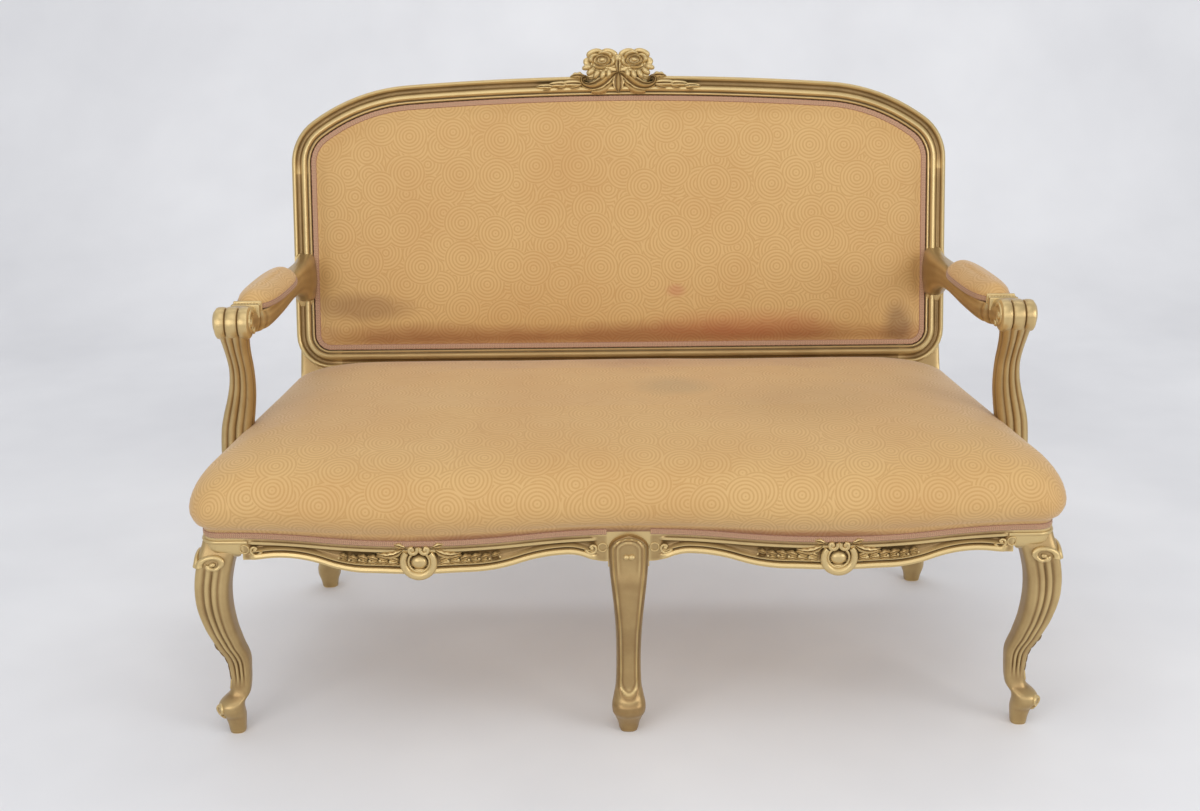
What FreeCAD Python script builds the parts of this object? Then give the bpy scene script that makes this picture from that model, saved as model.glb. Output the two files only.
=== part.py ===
import FreeCAD, Part

import math
import os

# Gilt cabriole sofa for two, in the Louis XV manner: a carved and gilded frame on five cabriole legs, with a
# padded seat, a padded and raked back, and open arms with pads. Millimetres. X runs along the sofa, -Y is the
# front, +Z is up, and the origin is on the floor under the middle of the overall box. Each left-hand piece is
# the mirror image of the right-hand one.

V = FreeCAD.Vector
OUT = "parts"
FIT = 0.3          # clearance between pieces that lie against each other
JOINT_FIT = 0.2    # clearance round a tenon, a dowel or a screw in its hole
REACH = 2000.0     # a cutting block's length, more than the whole sofa's

# Overall
half_depth = 365.0             # from the origin to the front of the seat, and to the back of the top rail
rake = 12.0                    # lean of the back
back_height = 518.0            # of the back frame, along its lean
back_foot_y = half_depth - back_height * math.sin(math.radians(rake))

# Seat frame in plan
rail_top = 345.0               # where the webbing is tacked
rail_thickness = 28.0
rail_bow = 20.0                # how far each half of the front rail bows forward
seat_swell = 30.0              # how far the padded seat stands out over the front rail
rail_face = rail_bow + seat_swell - half_depth                  # front face of the front rail at the legs
front_half_width = 642.0       # outer face of the seat frame at the front corners
rear_half_width = 580.0        # and at the rear corners
bow_at = front_half_width / 2 - 8                               # from the middle to the crest of each bow
side_bow = 9.0
frame_corner = 26.0
rear_rail_back = back_foot_y - 21
rear_rail_height = 52.0

# Seat frame in elevation
belly_bottom = 287.0           # lowest line of the front rail, below each cartouche
belly_half = 76.0
arch_bottom = 311.0            # top of the two arches in each half of the front rail
arch_inset = 62.0              # from a leg to the top of the arch beside it
bracket_bottom = 297.0         # where the front rail meets the middle leg
corner_bracket_bottom = 306.0  # and where it meets a corner leg
side_arch_bottom = 303.0
side_end_bottom = 290.0
bead_height = 8.0              # bead along the lower edge of the front rail
bead_proud = 3.5
fillet_bottom = 320.0          # narrow raised fillet under the braid
fillet_height = 5.0
fillet_proud = 2.0
cartouche_z = 311.0
cartouche_radius = 27.0
cartouche_proud = 8.0
cabochon_radius = 13.0
carving_root = 4.0             # how deep carved ornament runs into the wood that it is cut from

# Legs
leg_block = 62.0               # square head of a corner leg
leg_block_bottom = 300.0
centre_block_bottom = 288.0
stile_block_bottom = 288.0
centre_block_half = 31.0
centre_block_proud = 6.0
centre_block_depth = 52.0
corner_foot_x = front_half_width - 24
corner_foot_y = rail_face + 31
centre_foot_y = rail_face + 17
stile_half = 22.0              # half the width of the rear leg's head
stile_front = rear_rail_back - 45
stile_back = rear_rail_back + 4
rear_foot_x = rear_half_width - stile_half
rear_foot_y = rear_rail_back + 26

# Joints of the seat frame
tenon_length = 24.0
tenon_thickness = 10.0
tenon_low = 310.0
tenon_high = 336.0
block_reach = 36.0             # how far a corner block stands beyond the head that it braces
block_low = 302.0
block_high = 336.0
brace_half = 19.0
brace_low = 298.0
brace_high = 330.0
brace_tenon = 12.0
screw_radius = 2.0
screw_head_radius = 4.0
screw_length = 40.0
dowel_radius = 4.0
dowel_length = 40.0

# Back frame, drawn upright with its rear face in the plane y = 0, then leaned back and set in its place
back_foot = 436.0              # height of the back frame's lower rear edge
back_half_width = rear_half_width + 5
corner_radius = 62.0
shoulder_radius = 92.0
shoulder_turn = 54.0           # from the side to the end of the shoulder's arc
haunch_radius = 330.0
haunch_turn = 86.0             # and to the end of the haunch's arc, where the long top arc begins
rabbet_level = 16.0            # height of the tacking rabbet over the rear face
rabbet_inner = 50.0            # from the frame's outer edge to its opening
moulding_inner = 33.0
rail_joint = 352.0             # height of the joint between stile and top rail
bottom_joint = back_half_width - 80                             # from the middle to the bottom rail's joints

# The moulding from the outside in: distance from the edge, height over the rear face
moulding = (
    (0.0, 26.0), (4.5, 31.5), (9.5, 26.5), (16.0, 26.5),
    (20.0, 33.0), (25.5, 34.0), (29.5, 28.0), (moulding_inner, 27.0),
)

# Arms
arm_seat_proud = 37.0          # flat boss on the stile, for the arm to butt against
arm_seat_low = 110.0
arm_seat_high = 212.0
arm_seat_inner = back_half_width - moulding_inner
support_share = 0.3            # where the supports stand, as a share of the side rail from the front
arm_rear_x = back_half_width - 20
scroll_x = front_half_width + support_share * (rear_half_width - front_half_width) - 19.4
scroll_y = rail_face + support_share * (rear_rail_back - rail_face)
scroll_z = 630.0
scroll_radius = 25.0
scroll_half_width = 27.0
eye_proud = 4.0
pad_level = 638.5              # bottom of the step cut in the arm's top for its pad
pad_front = scroll_y + 37
pad_rear = rear_rail_back - 134
post_tenon_half = 16.0

# Upholstery
cloth = 2.0                    # cover with its wadding
thin_cloth = 1.0
strap_width = 50.0
strap_thickness = 1.5
strap_edge = 8.0               # from the frame's edge to the end of a strap
braid_width = 10.0
braid_thickness = 2.4
seat_ground = rail_top + 3 * FIT + 2 * strap_thickness          # top of the webbing
back_ground = rabbet_level + 3 * FIT + 2 * strap_thickness
pad_half_width = 28.0
arm_spread = scroll_x - arm_rear_x
pad_x = arm_rear_x + 0.36 * arm_spread
pad_turn = math.degrees(math.atan2(0.43 * arm_spread, pad_rear - pad_front))    # the pad follows the arm


def block(x0=-REACH, x1=REACH, y0=-REACH, y1=REACH, z0=-REACH, z1=REACH):
    return Part.makeBox(x1 - x0, y1 - y0, z1 - z0, V(x0, y0, z0))


def rod(radius, start, end, sides=12):
    """Round bar with flat sides."""
    points = [V(*polar((0, 0), radius, 360.0 * i / sides), 0) for i in range(sides)]
    bar = Part.Face(Part.makePolygon(points + points[:1])).extrude(V(0, 0, (end - start).Length))
    bar.Placement = FreeCAD.Placement(start, FreeCAD.Rotation(V(0, 0, 1), end - start))
    return bar


def arc(a, b, c):
    return Part.Arc(a, b, c).toShape()


def line(a, b):
    return Part.LineSegment(a, b).toShape()


def polar(centre, radius, degrees):
    turn = math.radians(degrees)
    return centre[0] + radius * math.cos(turn), centre[1] + radius * math.sin(turn)


def mirrored(shape):
    return shape.mirror(V(0, 0, 0), V(1, 0, 0))


def both_sides(shapes):
    return list(shapes) + [mirrored(s) for s in shapes]


def moved(shape, x=0.0, y=0.0, z=0.0):
    shape = shape.copy()
    shape.translate(V(x, y, z))
    return shape


def largest(shape):
    """The one clean solid of a boolean's result."""
    return max(shape.removeSplitter().Solids, key=lambda solid: solid.Volume)


def fuse(first, *others):
    return largest(first.multiFuse(list(others)))


def cut(shape, *tools):
    for tool in tools:
        shape = shape.cut(tool)
    return largest(shape)


def all_solids(shape):
    return shape.removeSplitter().Solids


# Flat-faced bodies through rings of points in parallel planes


def flat_faces(a, b, c, d):
    """One flat face over four points, or two triangles where they lie out of one plane."""
    normal = (c - a).cross(d - b)
    if abs((b - a).dot(normal)) < 1e-7 * normal.Length:
        return [Part.Face(Part.makePolygon([a, b, c, d, a]))]
    return [Part.Face(Part.makePolygon([a, b, c, a])), Part.Face(Part.makePolygon([a, c, d, a]))]


def faceted(rings):
    """Solid through rings of points, with flat faces between them and one over each end."""
    faces = [Part.Face(Part.makePolygon(ring + ring[:1])) for ring in (rings[0], rings[-1])]
    for low, high in zip(rings, rings[1:]):
        for i in range(len(low)):
            j = (i + 1) % len(low)
            faces += flat_faces(low[i], low[j], high[j], high[i])
    solid = Part.Solid(Part.Shell(faces))
    if solid.Volume < 0:
        solid.reverse()
    return solid


def soft_square(cx, cy, hx, hy, rounding):
    """Points of a rectangle whose corners are rounded with two flats each."""
    r = rounding * min(hx, hy)
    points = []
    for sx, sy, start in ((1, -1, -90), (1, 1, 0), (-1, 1, 90), (-1, -1, 180)):
        centre = (cx + sx * (hx - r), cy + sy * (hy - r))
        points += [polar(centre, r, start + turn) for turn in (0, 45, 90)]
    return points


def upright_shaft(stations, rounding):
    """Shaft through level sections; a station is height, centre along X and Y, half width and half depth."""
    return faceted([[V(x, y, z) for x, y in soft_square(cx, cy, hx, hy, rounding)]
                    for z, cx, cy, hx, hy in stations])


def lobed(cx, cy, radius, lobes, depth, turn=0.0):
    """Points of a flower's outline: a circle with petals, four points to each."""
    points = []
    for i in range(lobes * 4):
        share = (0.0, depth, 0.0, -depth)[i % 4]
        points.append(polar((cx, cy), radius * (1 + share), turn + i * 90.0 / lobes))
    return points


def tapered(points, scale, place, low, high):
    """Prism whose far end is scaled about the middle of its outline; place makes a 3D point."""
    cx = sum(p[0] for p in points) / len(points)
    cy = sum(p[1] for p in points) / len(points)
    far = [(cx + scale * (x - cx), cy + scale * (y - cy)) for x, y in points]
    return faceted([[place(x, y, low) for x, y in points], [place(x, y, high) for x, y in far]])


def leaf(x, y, length, width, degrees):
    """Outline of a pointed leaf from its foot at x, y, in the direction given."""
    along = (math.cos(math.radians(degrees)), math.sin(math.radians(degrees)))
    edge = ((0.0, 0.0), (0.2, 0.38), (0.5, 0.5), (0.8, 0.28))
    half = [(u * length, v * width) for u, v in edge + ((1.0, 0.0),)]
    half += [(u * length, -v * width) for u, v in edge[:0:-1]]
    return [(x + u * along[0] - v * along[1], y + u * along[1] + v * along[0]) for u, v in half]


# Outlines: a list of strokes in order round the shape, two points for a line and three for an arc


def ogee(p, q):
    """Two equal tangent arcs from p to q, level at both ends, as on a serpentine rail."""
    (x0, y0), (x1, y1) = p, q
    run, rise = (x1 - x0) / 2, (y1 - y0) / 2
    turn = 2 * math.atan2(abs(rise), abs(run))
    radius = abs(run) / math.sin(turn)
    dx = math.copysign(radius * math.sin(turn / 2), run)
    dy = math.copysign(radius * (1 - math.cos(turn / 2)), rise)
    middle = (x0 + run, y0 + rise)
    return [(p, (x0 + dx, y0 + dy), middle), (middle, (x1 - dx, y1 - dy), q)]


def other_half(strokes):
    """The mirror image of a right half, in the order that closes the outline."""
    return [tuple((-x, y) for x, y in reversed(stroke)) for stroke in reversed(strokes)]


def wire(strokes, place):
    """Closed wire of lines and arcs; place turns a 2D point into a 3D one."""
    edges = []
    for stroke in strokes:
        points = [place(*p) for p in stroke]
        edges.append(line(*points) if len(points) == 2 else arc(*points))
    return Part.Wire(edges)


def arc_through(stroke):
    """Centre, radius, start angle and turn in degrees of an arc given by three points."""
    (ax, ay), (bx, by), (cx, cy) = stroke
    twice = 2 * (ax * (by - cy) + bx * (cy - ay) + cx * (ay - by))
    a2, b2, c2 = ax * ax + ay * ay, bx * bx + by * by, cx * cx + cy * cy
    centre = ((a2 * (by - cy) + b2 * (cy - ay) + c2 * (ay - by)) / twice,
              (a2 * (cx - bx) + b2 * (ax - cx) + c2 * (bx - ax)) / twice)
    start = math.atan2(ay - centre[1], ax - centre[0])
    turn = math.atan2(cy - centre[1], cx - centre[0]) - start
    turn -= 2 * math.pi * round(turn / (2 * math.pi))
    return centre, math.hypot(ax - centre[0], ay - centre[1]), math.degrees(start), math.degrees(turn)


def halved(stroke):
    """The same arc as two strokes."""
    centre, radius, start, turn = arc_through(stroke)
    a, b, c, d, e = (polar(centre, radius, start + turn * i / 4) for i in range(5))
    return [(a, b, c), (c, d, e)]


def chords(stroke):
    """Points along a stroke without its last one: arcs get more of them the further they turn."""
    if len(stroke) == 2:
        return [stroke[0]]
    centre, radius, start, turn = arc_through(stroke)
    steps = 2 if abs(turn) < 25 else 4 if abs(turn) < 60 else 6
    return [polar(centre, radius, start + turn * i / steps) for i in range(steps)]


def ring_of(strokes, place):
    return [place(*p) for stroke in strokes for p in chords(stroke)]


def seat_outline(front=0.0, side=0.0, rear=0.0, corner=frame_corner, bow=rail_bow, crest=bow_at):
    """Plan outline of the seat, set outwards by front, side and rear."""
    face, back = rail_face - front, rear_rail_back + rear
    wide, narrow = front_half_width + side, rear_half_width + side
    length = back - face
    swell = side_bow * length / (rear_rail_back - rail_face)
    turn = math.atan2(wide - narrow, length) - 4 * swell / length
    xc = wide - corner * math.cos(turn)
    end = (wide, face + corner * (1 + math.sin(turn)))
    side_middle = ((wide + narrow) / 2 + swell, (end[1] + back) / 2)
    half = ogee((0, face), (crest, face - bow)) + ogee((crest, face - bow), (xc, face))
    half.append(((xc, face), polar((xc, face + corner), corner, (math.degrees(turn) - 90) / 2), end))
    half += halved((end, side_middle, (narrow, back)))
    return half + [((narrow, back), (-narrow, back))] + other_half(half)


def seat_plate(low, high, out=0.0):
    """Flat-sided plate of the seat's outline set outwards, between two heights."""
    outline = seat_outline(out, out, out)
    return faceted([ring_of(outline, lambda x, y: V(x, y, z)) for z in (low, high)])


def side_face(y):
    """Outer face of the side rail at depth y."""
    share = (y - rail_face) / (rear_rail_back - rail_face)
    straight = front_half_width + (rear_half_width - front_half_width) * share
    return straight + 4 * side_bow * share * (1 - share)


def back_outline(inset, corner=None, shoulder=None, haunch=None):
    """Outline of the back set inwards by inset, drawn upright.

    Each half is bottom, corner, side, shoulder arc, haunch arc and long top arc, all tangent.
    """
    wide, low, high = back_half_width - inset, inset, back_height - inset
    rc = corner_radius - inset if corner is None else corner
    rs = shoulder_radius - inset if shoulder is None else shoulder
    rh = haunch_radius - inset if haunch is None else haunch
    shoulder_end = polar((wide - rs, 0.0), rs, shoulder_turn)
    haunch_centre = polar(shoulder_end, -rh, shoulder_turn)
    haunch_end = polar(haunch_centre, rh, haunch_turn)
    top_radius = haunch_end[0] / math.cos(math.radians(haunch_turn))
    lift = high - haunch_end[1] - top_radius * (1 - math.sin(math.radians(haunch_turn)))
    raised = lambda p: (p[0], p[1] + lift)
    corner_centre = (wide - rc, low + rc)
    half = [
        ((0, low), (corner_centre[0], low)),
        ((corner_centre[0], low), polar(corner_centre, rc, -45), (wide, corner_centre[1])),
        ((wide, corner_centre[1]), (wide, lift)),
        ((wide, lift), raised(polar((wide - rs, 0.0), rs, shoulder_turn / 2)), raised(shoulder_end)),
        (raised(shoulder_end), raised(polar(haunch_centre, rh, (shoulder_turn + haunch_turn) / 2)),
         raised(haunch_end)),
        (raised(haunch_end), polar((0, high - top_radius), top_radius, (haunch_turn + 90) / 2), (0, high)),
    ]
    return half + other_half(half)


def on_back(level):
    """Places a 2D point of the back, level in front of its rear face."""
    return lambda x, v: V(x, -level, v)


def back_sheet(inset, low, high):
    """Flat-sided plate of the back's outline, between two levels over the rear face."""
    return faceted([ring_of(back_outline(inset), on_back(level)) for level in (low, high)])


def leaned(shape):
    """Moves a piece of the back from the upright drawing to its raked place."""
    shape = shape.copy()
    shape.rotate(V(0, 0, 0), V(1, 0, 0), -rake)
    shape.translate(V(0, back_foot_y, back_foot))
    return shape


# Seat frame


def elevation(points, place, direction):
    """Block cut to an outline in elevation, carried right through the sofa."""
    corners = [place(*p) for p in points]
    face = Part.Face(Part.makePolygon(corners + corners[:1]))
    return moved(face.extrude(direction * 2 * REACH), *(direction * -REACH))


def in_front(x, z):
    return V(x, 0, z)


def at_side(y, z):
    return V(0, y, z)


def wavy(knots):
    """Points of a line that runs through knots in ogees, level at each of them."""
    points = []
    for p, q in zip(knots, knots[1:]):
        strokes = [(p, q)] if p[1] == q[1] else ogee(p, q)
        points += [point for stroke in strokes for point in chords(stroke)]
    return points + [knots[-1]]


def rail_ends():
    return centre_block_half, front_half_width - leg_block


def rail_foot_line(lift=0.0):
    """Lower edge of the right half of the front rail: bracket, arch, belly, arch and bracket."""
    x0, x1 = rail_ends()
    knots = ((x0, bracket_bottom), (x0 + arch_inset, arch_bottom), (bow_at - belly_half, belly_bottom),
             (bow_at + belly_half, belly_bottom), (x1 - arch_inset, arch_bottom), (x1, corner_bracket_bottom))
    return [(x, z + lift) for x, z in wavy(knots)]


def rail_skin(proud, outline):
    """Layer of the front rail's face inside an outline in elevation, standing proud of the face."""
    inside = seat_plate(belly_bottom, rail_top, -rail_thickness / 2)
    skin = seat_plate(belly_bottom, rail_top, proud).cut(inside)
    front_half = block(x0=0, y1=rail_face + rail_thickness / 2)
    return skin.common(elevation(outline, in_front, V(0, 1, 0))).common(front_half)


def cartouche():
    """Carved cartouche at the crest of each bow: a lobed ring, a cabochon in it, a row of husks each side."""
    face = rail_face - rail_bow
    place = lambda x, z, out: V(x, face - out, z)
    top = rail_top - braid_width / 3 - FIT
    middle = bow_at, cartouche_z
    root, proud = -carving_root, cartouche_proud
    ring = tapered(lobed(*middle, cartouche_radius, 6, 0.06), 0.86, place, root, proud)
    hollow = tapered(lobed(*middle, 0.6 * cartouche_radius, 3, 0.0), 1.15, place, 0.0, proud + 1)
    cabochon = tapered(lobed(*middle, cabochon_radius, 3, 0.0), 0.5, place, root, proud + 2)
    pieces = [cut(fuse(cut(ring, hollow), cabochon), block(z0=top))]
    for side in (-1, 1):
        for step in range(3):
            foot = bow_at + side * (cartouche_radius - 5 + 17 * step)
            outline = leaf(foot, cartouche_z - 8, 24.0 - 2 * step, 13.0 - 2 * step, 90 - side * 80)
            pieces.append(tapered(outline, 0.45, place, root - 1, 5.5 - step))
    return pieces


def front_rail():
    """Right half of the front rail: bowed in plan and arched in elevation, carved, with its tenons."""
    x0, x1 = rail_ends()
    band = seat_plate(belly_bottom, rail_top).cut(seat_plate(belly_bottom, rail_top, -rail_thickness))
    front_half = block(x0=0, y1=rail_face + rail_thickness + rail_bow)
    foot = rail_foot_line()
    outline = elevation(foot + [(x1, rail_top), (x0, rail_top)], in_front, V(0, 1, 0))
    rail = band.common(front_half).common(outline)
    bead = rail_skin(bead_proud, foot + rail_foot_line(bead_height)[::-1])
    low, high = fillet_bottom, fillet_bottom + fillet_height
    fillet = rail_skin(fillet_proud, [(x0, low), (x1, low), (x1, high), (x0, high)])
    y = rail_face + rail_thickness / 2
    half = tenon_thickness / 2
    tenons = [block(x0 - tenon_length, x0 + 1, y - half, y + half, tenon_low, tenon_high),
              block(x1 - 1, x1 + tenon_length, y - half, y + half, tenon_low, tenon_high)]
    return fuse(rail, bead, fillet, *tenons, *cartouche())


def post_mortise(gap):
    """Tenon under the arm support, or with a gap the mortise for it in the side rail."""
    z, y = support_stations[0][0], scroll_y + support_stations[0][2]
    rail_middle = side_face(y) - rail_thickness / 2
    half = tenon_thickness / 2 + gap
    long_half = post_tenon_half + gap
    low = z - tenon_length - gap
    return block(rail_middle - half, rail_middle + half, y - long_half, y + long_half, low, z + 1)


def side_rail():
    """Right side rail, bowed in plan, with one long shallow arch below."""
    y0, y1 = rail_face + leg_block, stile_front
    middle = (y0 + y1) / 2
    outline = wavy(((y0, side_end_bottom), (middle, side_arch_bottom), (y1, side_end_bottom)))
    outline += [(y1, rail_top), (y0, rail_top)]
    band = seat_plate(side_end_bottom, rail_top).cut(seat_plate(side_end_bottom, rail_top, -rail_thickness))
    rail = band.common(elevation(outline, at_side, V(1, 0, 0))).common(block(x0=0))
    half = tenon_thickness / 2
    xf, xr = (side_face(y) - rail_thickness / 2 for y in (y0, y1))
    tenons = [block(xf - half, xf + half, y0 - tenon_length, y0 + 1, tenon_low, tenon_high),
              block(xr - half, xr + half, y1 - 1, y1 + tenon_length, tenon_low, tenon_high)]
    return cut(fuse(rail, *tenons), post_mortise(JOINT_FIT))


def rear_rail():
    x = rear_foot_x - stile_half
    y = rear_rail_back - rail_thickness / 2
    half = tenon_thickness / 2
    bar = block(-x, x, y - rail_thickness / 2, rear_rail_back, rail_top - rear_rail_height, rail_top)
    tenons = block(-x - tenon_length, x + tenon_length, y - half, y + half, tenon_low, tenon_high)
    return cut(fuse(bar, tenons), brace_blank(JOINT_FIT))


def brace_blank(gap):
    """Brace under the webbing from the middle leg's head to the rear rail, tenoned at both ends."""
    front = rail_face + centre_block_depth
    rear = rear_rail_back - rail_thickness
    bar = block(-brace_half, brace_half, front + FIT, rear - FIT, brace_low, brace_high)
    half = brace_half / 2 + gap
    tenon = block(-half, half, front - brace_tenon - gap, rear + brace_tenon + gap, brace_low + 6 - gap,
                  brace_high - 6 + gap)
    return tenon if gap else fuse(bar, tenon)


# Legs. A corner leg's stations: height, lean outwards, half width
corner_leg_stations = (
    (0.0, 0.0, 12.0), (13.0, 0.0, 14.0), (27.0, 1.0, 16.0), (39.0, 5.0, 20.5), (52.0, 5.0, 21.0),
    (65.0, -8.0, 16.5), (92.0, -10.0, 15.5), (122.0, -10.0, 17.0), (153.0, 0.0, 20.0), (187.0, 9.0, 22.5),
    (226.0, 14.0, 25.0), (258.0, 14.0, 26.0), (285.0, 10.0, 27.0), (308.0, 4.0, 28.0), (332.0, -4.0, 28.0),
)
# The middle leg's: height, lean forwards, half width, half depth
centre_leg_stations = (
    (0.0, -6.0, 15.0, 13.0), (13.0, -5.0, 18.0, 15.0), (27.0, 0.0, 22.0, 18.0), (39.0, 5.0, 27.0, 23.0),
    (54.0, 4.0, 27.0, 22.0), (67.0, -6.0, 22.0, 17.0), (95.0, -11.0, 20.0, 16.5), (122.0, -11.0, 19.0, 18.0),
    (153.0, -3.0, 19.5, 20.0), (190.0, 8.0, 20.5, 22.0), (230.0, 15.0, 23.0, 24.0), (262.0, 14.0, 26.5, 25.0),
    (288.0, 6.0, 29.5, 25.0),
)
# A rear leg's: height, lean backwards, half width, half depth
rear_leg_stations = (
    (0.0, 2.0, 14.0, 14.0), (14.0, 1.0, 16.5, 16.5), (26.0, 2.0, 21.0, 21.0), (40.0, 0.0, 21.0, 21.5),
    (54.0, -9.0, 17.0, 17.0), (90.0, -20.0, 16.0, 17.0), (140.0, -31.0, 17.5, 19.0),
    (200.0, -41.0, 19.5, 22.0), (250.0, -46.0, 21.5, 24.0), (288.0, -46.5, 22.0, 24.5),
)


def mortise(x0, x1, y0, y1):
    return block(x0, x1, y0, y1, tenon_low - JOINT_FIT, tenon_high + JOINT_FIT)


def corner_leg():
    """Right front leg: cabriole sawn on the diagonal, scroll toe on a small pad, square head."""
    x, y = corner_foot_x, corner_foot_y
    stations = [(z, x + out, y - out, half, half) for z, out, half in corner_leg_stations]
    inner, back = front_half_width - leg_block, rail_face + leg_block
    above = leg_block_bottom - 2
    head = seat_plate(above, rail_top).common(block(x0=inner, y1=back))
    half = tenon_thickness / 2 + JOINT_FIT
    deep = tenon_length + JOINT_FIT
    y = rail_face + rail_thickness / 2
    x = side_face(back) - rail_thickness / 2
    mortises = [mortise(inner - 1, inner + deep, y - half, y + half),
                mortise(x - half, x + half, back - deep, back + 1)]
    beyond = [block(x1=inner, z0=above), block(y0=back, z0=above)]
    return cut(fuse(upright_shaft(stations, 0.5), head), *block_screws(JOINT_FIT), *mortises, *beyond)


def centre_leg():
    """Middle front leg: cabriole that steps forward, with an arched head that stands proud of the rail."""
    stations = [(z, 0.0, centre_foot_y - out, hx, hy) for z, out, hx, hy in centre_leg_stations]
    half_width, spring, foot = centre_block_half, rail_top - 14, centre_block_bottom - 2
    arch = [arc(V(half_width, 0, spring), V(0, 0, rail_top - 4), V(-half_width, 0, spring)),
            line(V(-half_width, 0, spring), V(-half_width, 0, foot)),
            line(V(-half_width, 0, foot), V(half_width, 0, foot)),
            line(V(half_width, 0, foot), V(half_width, 0, spring))]
    front = rail_face - centre_block_proud
    panel = moved(Part.Face(Part.Wire(arch)).extrude(V(0, centre_block_proud + 1, 0)), y=front)
    head = block(-half_width, half_width, rail_face, rail_face + centre_block_depth, foot, rail_top)
    half = tenon_thickness / 2 + JOINT_FIT
    deep = half_width - tenon_length - JOINT_FIT
    y = rail_face + rail_thickness / 2
    mortises = both_sides([mortise(deep, half_width + 1, y - half, y + half)])
    return cut(fuse(upright_shaft(stations, 0.5), panel, head), *mortises, brace_blank(JOINT_FIT))


def rear_leg_and_stile(ring):
    """Right rear leg and back stile in one length, with the moulded side of the back frame on it."""
    side = ring.common(block(x0=0, z1=rail_joint))
    side = cut(side, block(x1=bottom_joint, z1=rabbet_inner + 1))
    boss = block(arm_seat_inner, back_half_width - 1, -arm_seat_proud, -10, arm_seat_low, arm_seat_high)
    x, foot = rear_foot_x, stile_block_bottom - 2
    leg = upright_shaft([(z, x, rear_foot_y + lean, hx, hy) for z, lean, hx, hy in rear_leg_stations], 0.5)
    head = block(x - stile_half, x + stile_half, stile_front, stile_back, foot, rail_top)
    rise = 46.0
    neck_top = back_foot_y + rise * math.tan(math.radians(rake))
    neck = []
    inner, outer = x - stile_half, x + stile_half
    for front, rear, z in ((stile_front, stile_back, rail_top - 4),
                           (neck_top - 18, neck_top - 1, back_foot + rise)):
        neck.append([V(inner, front, z), V(outer, front, z), V(outer, rear, z), V(inner, rear, z)])
    half = tenon_thickness / 2 + JOINT_FIT
    deep = tenon_length + JOINT_FIT
    rail_y = rear_rail_back - rail_thickness / 2
    rail_x = side_face(stile_front) - rail_thickness / 2
    return cut(fuse(leaned(fuse(side, boss)), leg, head, faceted(neck)),
               mortise(inner - 1, inner + deep, rail_y - half, rail_y + half),
               mortise(rail_x - half, rail_x + half, stile_front - 1, stile_front + deep),
               *frame_dowels(JOINT_FIT), *block_screws(JOINT_FIT), arm_screw(JOINT_FIT))


# Back frame


def back_ring():
    """The whole moulded back frame in one, before it is cut at its joints."""
    profile = ((0.0, 0.0),) + moulding + ((moulding_inner + 0.01, rabbet_level), (rabbet_inner, rabbet_level))
    solid = Part.makeLoft([wire(back_outline(inset), on_back(level)) for inset, level in profile], True, True)
    opening = Part.Face(wire(back_outline(rabbet_inner), on_back(rabbet_level + 1)))
    return cut(solid, opening.extrude(V(0, rabbet_level + 2, 0)))


def frame_dowels(gap=0.0):
    """Dowels of the back frame's four joints on the right, or with a gap their holes."""
    radius, half = dowel_radius + gap, dowel_length / 2 + gap
    side_x = back_half_width - moulding_inner / 2
    y = -rabbet_level / 2
    places = (side_x - 14, side_x + 6)
    dowels = [rod(radius, V(x, y, rail_joint - half), V(x, y, rail_joint + half)) for x in places]
    dowels += [rod(radius, V(bottom_joint - half, y, v), V(bottom_joint + half, y, v)) for v in (12.0, 36.0)]
    return [leaned(d) for d in dowels]


def top_rail(ring):
    rail = largest(ring.common(block(z0=rail_joint)))
    return cut(leaned(rail), *both_sides(frame_dowels(JOINT_FIT)))


def bottom_rail(ring):
    rail = largest(ring.common(block(-bottom_joint, bottom_joint, z1=rabbet_inner + 1)))
    return cut(leaned(rail), *both_sides(frame_dowels(JOINT_FIT)))


# Crest, drawn upright like the frame; heights are over the top of the frame
rose_x = 24.0
rose_height = 31.0
rose_radius = 23.0
crest_back = 12.0
crest_front = 40.0
crest_half_width = 200.0       # more than the carving's
scroll_leaf_turns = 1.15


def crest_scroll():
    """Outline of the acanthus scroll that springs from the middle and curls up at its lower outer end."""
    outer, inner = [], []
    for i in range(13):
        share = i / 12
        turn = 70 - 300 * share * scroll_leaf_turns
        radius = 24 - 15 * share
        width = 4.5 - 2.0 * share
        centre = (42.0 + 6 * share, -3.0 - 2 * share)
        outer.append(polar(centre, radius + width, turn))
        inner.append(polar(centre, radius - width, turn))
    return outer, inner


def crest_seat():
    """The top rail's moulding under the crest, larger all round by the clearance between them."""
    inner, first, last = moulding_inner + FIT, moulding[0][1] + FIT, moulding[-1][1] + FIT
    section = [(-FIT, -1.0), (-FIT, first)] + [(inset, level + FIT) for inset, level in moulding]
    section += [(inner, last), (inner, -1.0)]
    centre, radius = arc_through(back_outline(0.0)[5])[:2]
    rings = []
    for step in range(9):
        x = crest_half_width * (step / 4 - 1)
        top = centre[1] + math.sqrt(radius ** 2 - x ** 2)
        rings.append([on_back(level)(x, top - inset) for inset, level in section])
    return faceted(rings)


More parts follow.
